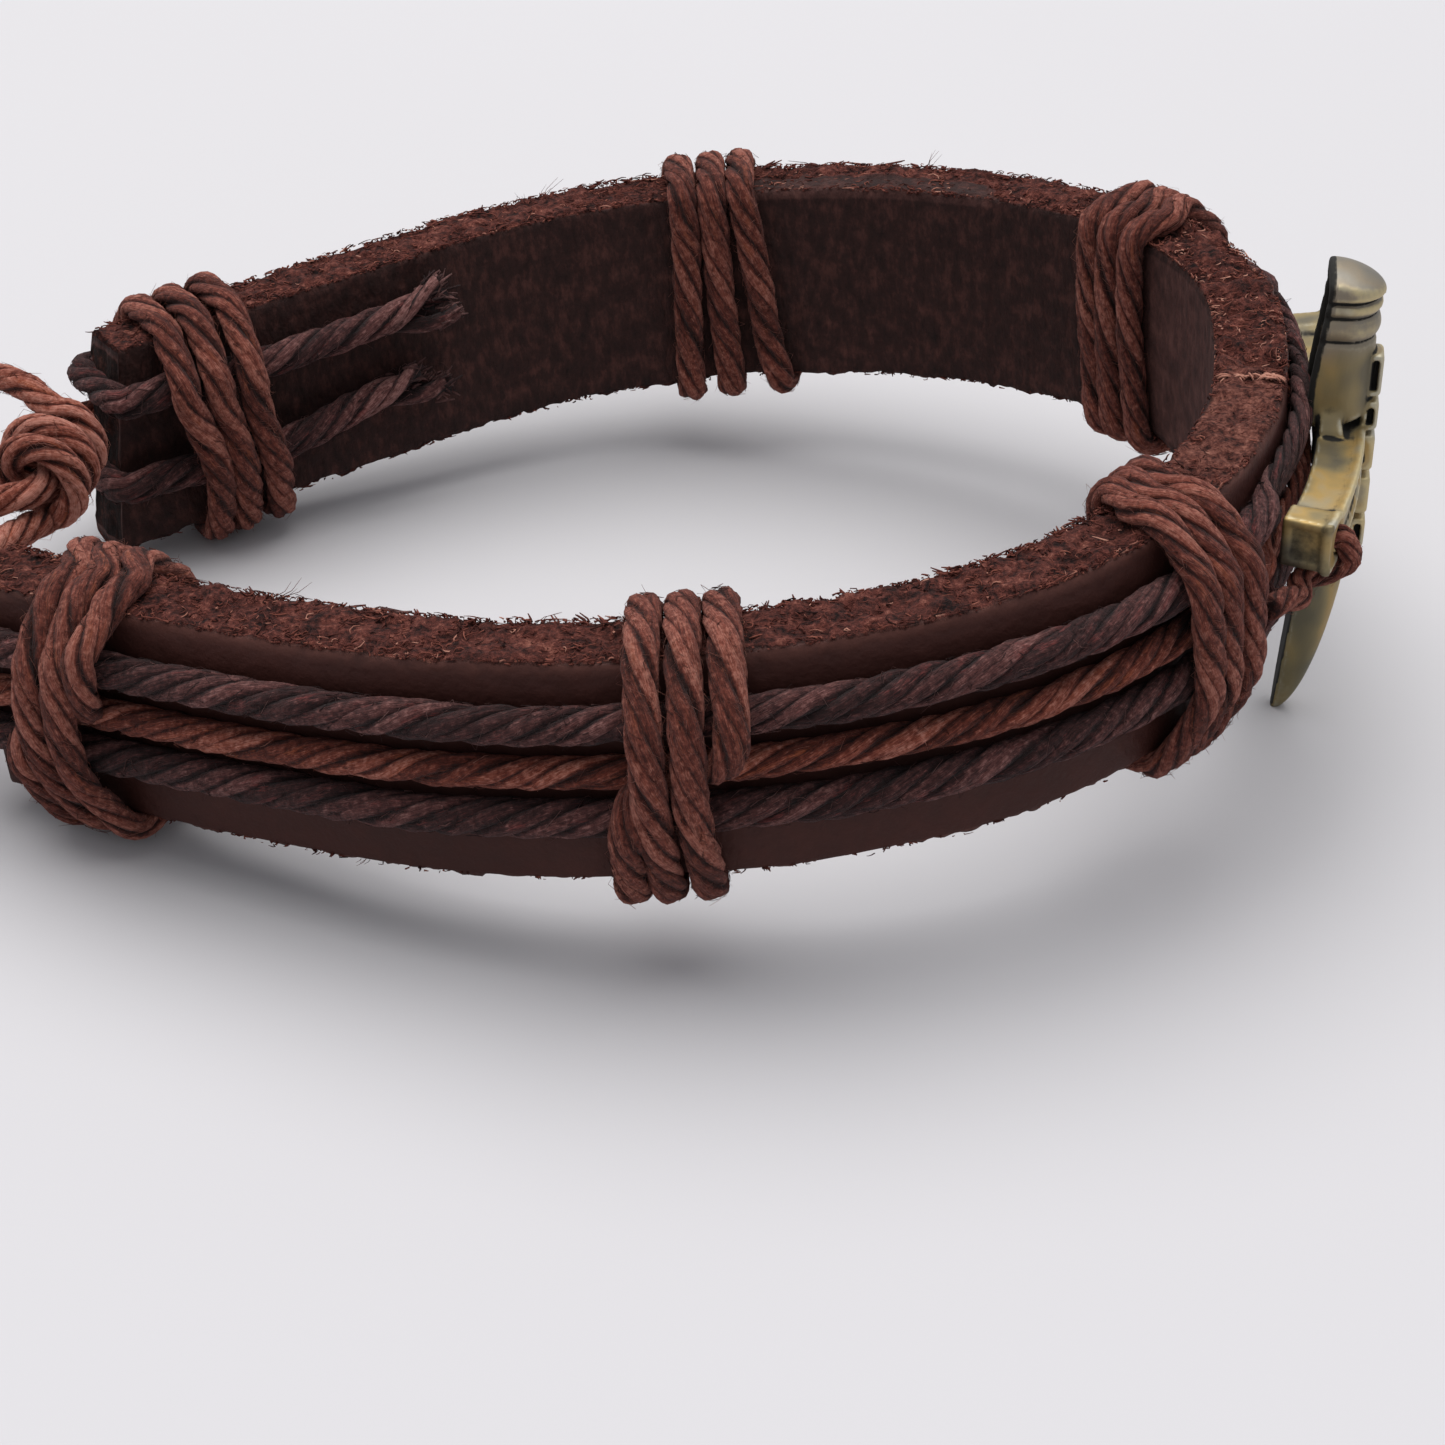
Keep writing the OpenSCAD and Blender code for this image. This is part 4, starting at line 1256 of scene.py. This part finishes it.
def smooth_steps(points, quads, rounds):
    """Mean of the neighbours, a few times over."""
    edges = np.vstack([quads[:, [k, (k + 1) % 4]] for k in range(4)])
    edges = np.unique(np.sort(edges, 1), axis=0)
    degree = np.bincount(edges.ravel(), minlength=len(points))[:, None]
    for _ in range(rounds):
        total = np.zeros_like(points)
        np.add.at(total, edges[:, 0], points[edges[:, 1]])
        np.add.at(total, edges[:, 1], points[edges[:, 0]])
        points = points * 0.5 + 0.5 * total / degree
    return points


def charm_tone(points, soft, outward):
    """1 where the surface stands proud of its softened self and 0 in its hollows, for wear and
    patina. It is lowered further as painted shade on the back, on the upright's side against the
    cords and in the slots, and held at a middling painted shade on the arms' end faces."""
    x, y, z = points.T
    shelter = np.clip(0.48 + ((points - soft) * outward).sum(1) * 7, 0.12, 1)
    # Painted shade on the back, which faces the strip, and on the upright's side against the cords
    back_shade = np.clip(-outward[:, 0] * 1.6 - 0.2, 0, 1) * np.clip((0.5 - x) / 0.3, 0, 1)
    side_shade = np.clip((0.42 - x - upright_back(z)) / 0.15, 0, 1) * (np.abs(y) < 2) * (z > -1)
    tone = shelter * (1 - 0.8 * np.maximum(back_shade, side_shade)) - 0.1 * back_shade
    # Painted shade: the arms' end faces are held at a middling tone, with no bright edges
    arm_end_shade = np.abs(np.arctan2(y, x + BAR_R) * BAR_R) > BAR_LEN / 2 - BAR_ROUND
    tone = np.where(arm_end_shade, np.clip(tone, 0.32, 0.4), tone)
    # Painted shadow in the slots cut beside the beads
    slot = np.zeros(len(points), bool)
    on_front = (x > UPRIGHT_DEPTH - 0.1) & (x < UPRIGHT_DEPTH + 0.24)
    for low, high, slotted in RELIEF:
        within_slot = np.abs(z - (low + high) / 2) < (high - low) / 2 - SLOT_SHORTER
        slot |= bool(slotted) & on_front & within_slot
    return np.clip(tone * (1 - 0.8 * slot), 0, 1)


def make_charm():
    low, high = np.array(CHARM_LOW), np.array(CHARM_HIGH)
    shape = tuple(np.ceil((high - low) / CHARM_STEP).astype(int) + 1)
    axes = [low[k] + np.arange(shape[k]) * CHARM_STEP for k in range(3)]
    field = charm_field(*np.meshgrid(*axes, indexing="ij"))
    points, quads = surface_nets(field, low, CHARM_STEP, shape)
    points = smooth_steps(points, quads, 1)
    mesh = bpy.data.meshes.new("charm")
    mesh.from_pydata(set_down(charm_to_ring(points)).tolist(), [], quads.tolist())
    mesh.shade_smooth()
    normals = np.zeros(len(points) * 3)
    mesh.vertices.foreach_get("normal", normals)
    outward = normals.reshape(-1, 3) @ (REST @ CHARM_TURN)
    set_tone(mesh, charm_tone(points, smooth_steps(points, quads, 14), outward))
    place(mesh, "cross_charm", BRONZE, "charm")


TIE_D, TIE_LAY = 1.25, 6.5


def make_tie(name, y, side, foot, seed):
    """From the binding, under one arm, up its face and back through its hole. side is the way
    out along the arm."""
    back_x = math.sqrt(BAR_R ** 2 - HOLE_Y ** 2) - BAR_R
    front_x = back_x + BAR_T
    out_x = front_x + TIE_D / 2
    low = BAR_RAISE - BAR_H / 2 - 0.3 - TIE_D / 2 - GAP
    points = foot + [[back_x + 0.7, y + side * 0.9, low - 0.2],
                     [back_x + 1.3, y + side * 0.4, low - 0.2],
                     [front_x + 0.1, y, low], [out_x + 0.1, y, low + 0.5],
                     [out_x + 0.15, y, -1], [out_x - 0.15, y, -0.15],
                     [front_x, y, 0], [back_x + 0.1, y, 0]]
    route = through(charm_to_ring(np.array(points, float)), 0.22)
    cord = Cord(route, TIE_D, TIE_D, None, TIE_LAY, seed)
    skin = Skin()
    cord.plies(skin, 0.55)
    cord.fluff(skin, 220, (0.4, 1.2), (0.02, 0.25), seed, (0.3, 1.0), 0.014)
    skin.build("tie_" + name, ORANGE, "charm_tie_" + name)


# The pieces
make_strap()
lying_fibres()
border_tufts()
make_mauve("upper_mauve_cord", UPPER_Z, 11, 0.3, 0.2, 5, "cord_upper")
make_mauve("lower_mauve_cord", LOWER_Z, 13, 0.6, 1.6, 8, "cord_lower")
make_middle()
for index, binding_name in enumerate(BINDINGS):
    make_binding(binding_name, 12 + index)
make_charm()
make_tie("front", -HOLE_Y, -1, [[-2.1, -14.5, -1.5], [-1.3, -13, -1.8], [-0.65, -11.8, -2.4]], 31)
make_tie("back", HOLE_Y, 1,
         [[-3.3, 17.6, -1.6], [-2.3, 16.1, -1.7], [-1.3, 14.4, -1.9], [-0.6, 12.4, -2.5]], 32)


# Floor, camera, light
FLOOR_HALF = 1.6
PHOTO_PX, FOCAL_PX = 1445, 3000
SENSOR_MM = 36


def make_floor():
    mesh = bpy.data.meshes.new("floor")
    corners = [(-1, -1), (1, -1), (1, 1), (-1, 1)]
    mesh.from_pydata([(FLOOR_HALF * x, FLOOR_HALF * y, 0) for x, y in corners], [], [(0, 1, 2, 3)])
    mesh.materials.append(floor_finish())
    linked("floor", mesh)


def aim(thing, position, right, up):
    """Places a camera or light whose view runs along -Z, from its right and up directions."""
    right, up = unit(np.array(right, float)), unit(np.array(up, float))
    matrix = np.eye(4)
    matrix[:3] = np.stack([right, up, np.cross(right, up), position], 1)
    thing.matrix_world = Matrix(matrix.tolist())


def make_camera():
    """The photograph's camera, held in the ring's frame and leaned with it."""
    data = bpy.data.cameras.new("camera")
    data.sensor_width = SENSOR_MM
    data.lens = SENSOR_MM * FOCAL_PX / PHOTO_PX
    data.clip_start = 0.01
    camera = linked("camera", data)
    position = set_down(np.array([0, -115.74, 80.99]))
    right = REST @ np.array([0.9945, -0.0568, -0.0877])
    up = REST @ np.array([0.1045, 0.5408, 0.8346])
    aim(camera, position, right, up)
    bpy.context.scene.camera = camera


def make_light():
    """One broad soft light overhead, and a pale room."""
    data = bpy.data.lights.new("overhead", "AREA")
    data.shape = "DISK"
    data.size = 1.0
    data.energy = 7.4
    data.color = (1.0, 0.995, 0.985)
    position, target = np.array([-0.04, 0.15, 0.7]), np.array([0, 0, 0.01])
    back = unit(position - target)
    right = unit(np.cross([0, 0, 1.0], back))
    aim(linked("overhead", data), position, right, np.cross(back, right))
    world = bpy.data.worlds.new("room")
    bpy.context.scene.world = world
    world.use_nodes = True
    background = world.node_tree.nodes["Background"]
    background.inputs[0].default_value = (0.93, 0.95, 1.0, 1)
    background.inputs[1].default_value = 0.56


make_floor()
make_camera()
make_light()
bpy.context.scene.view_settings.view_transform = "Standard"
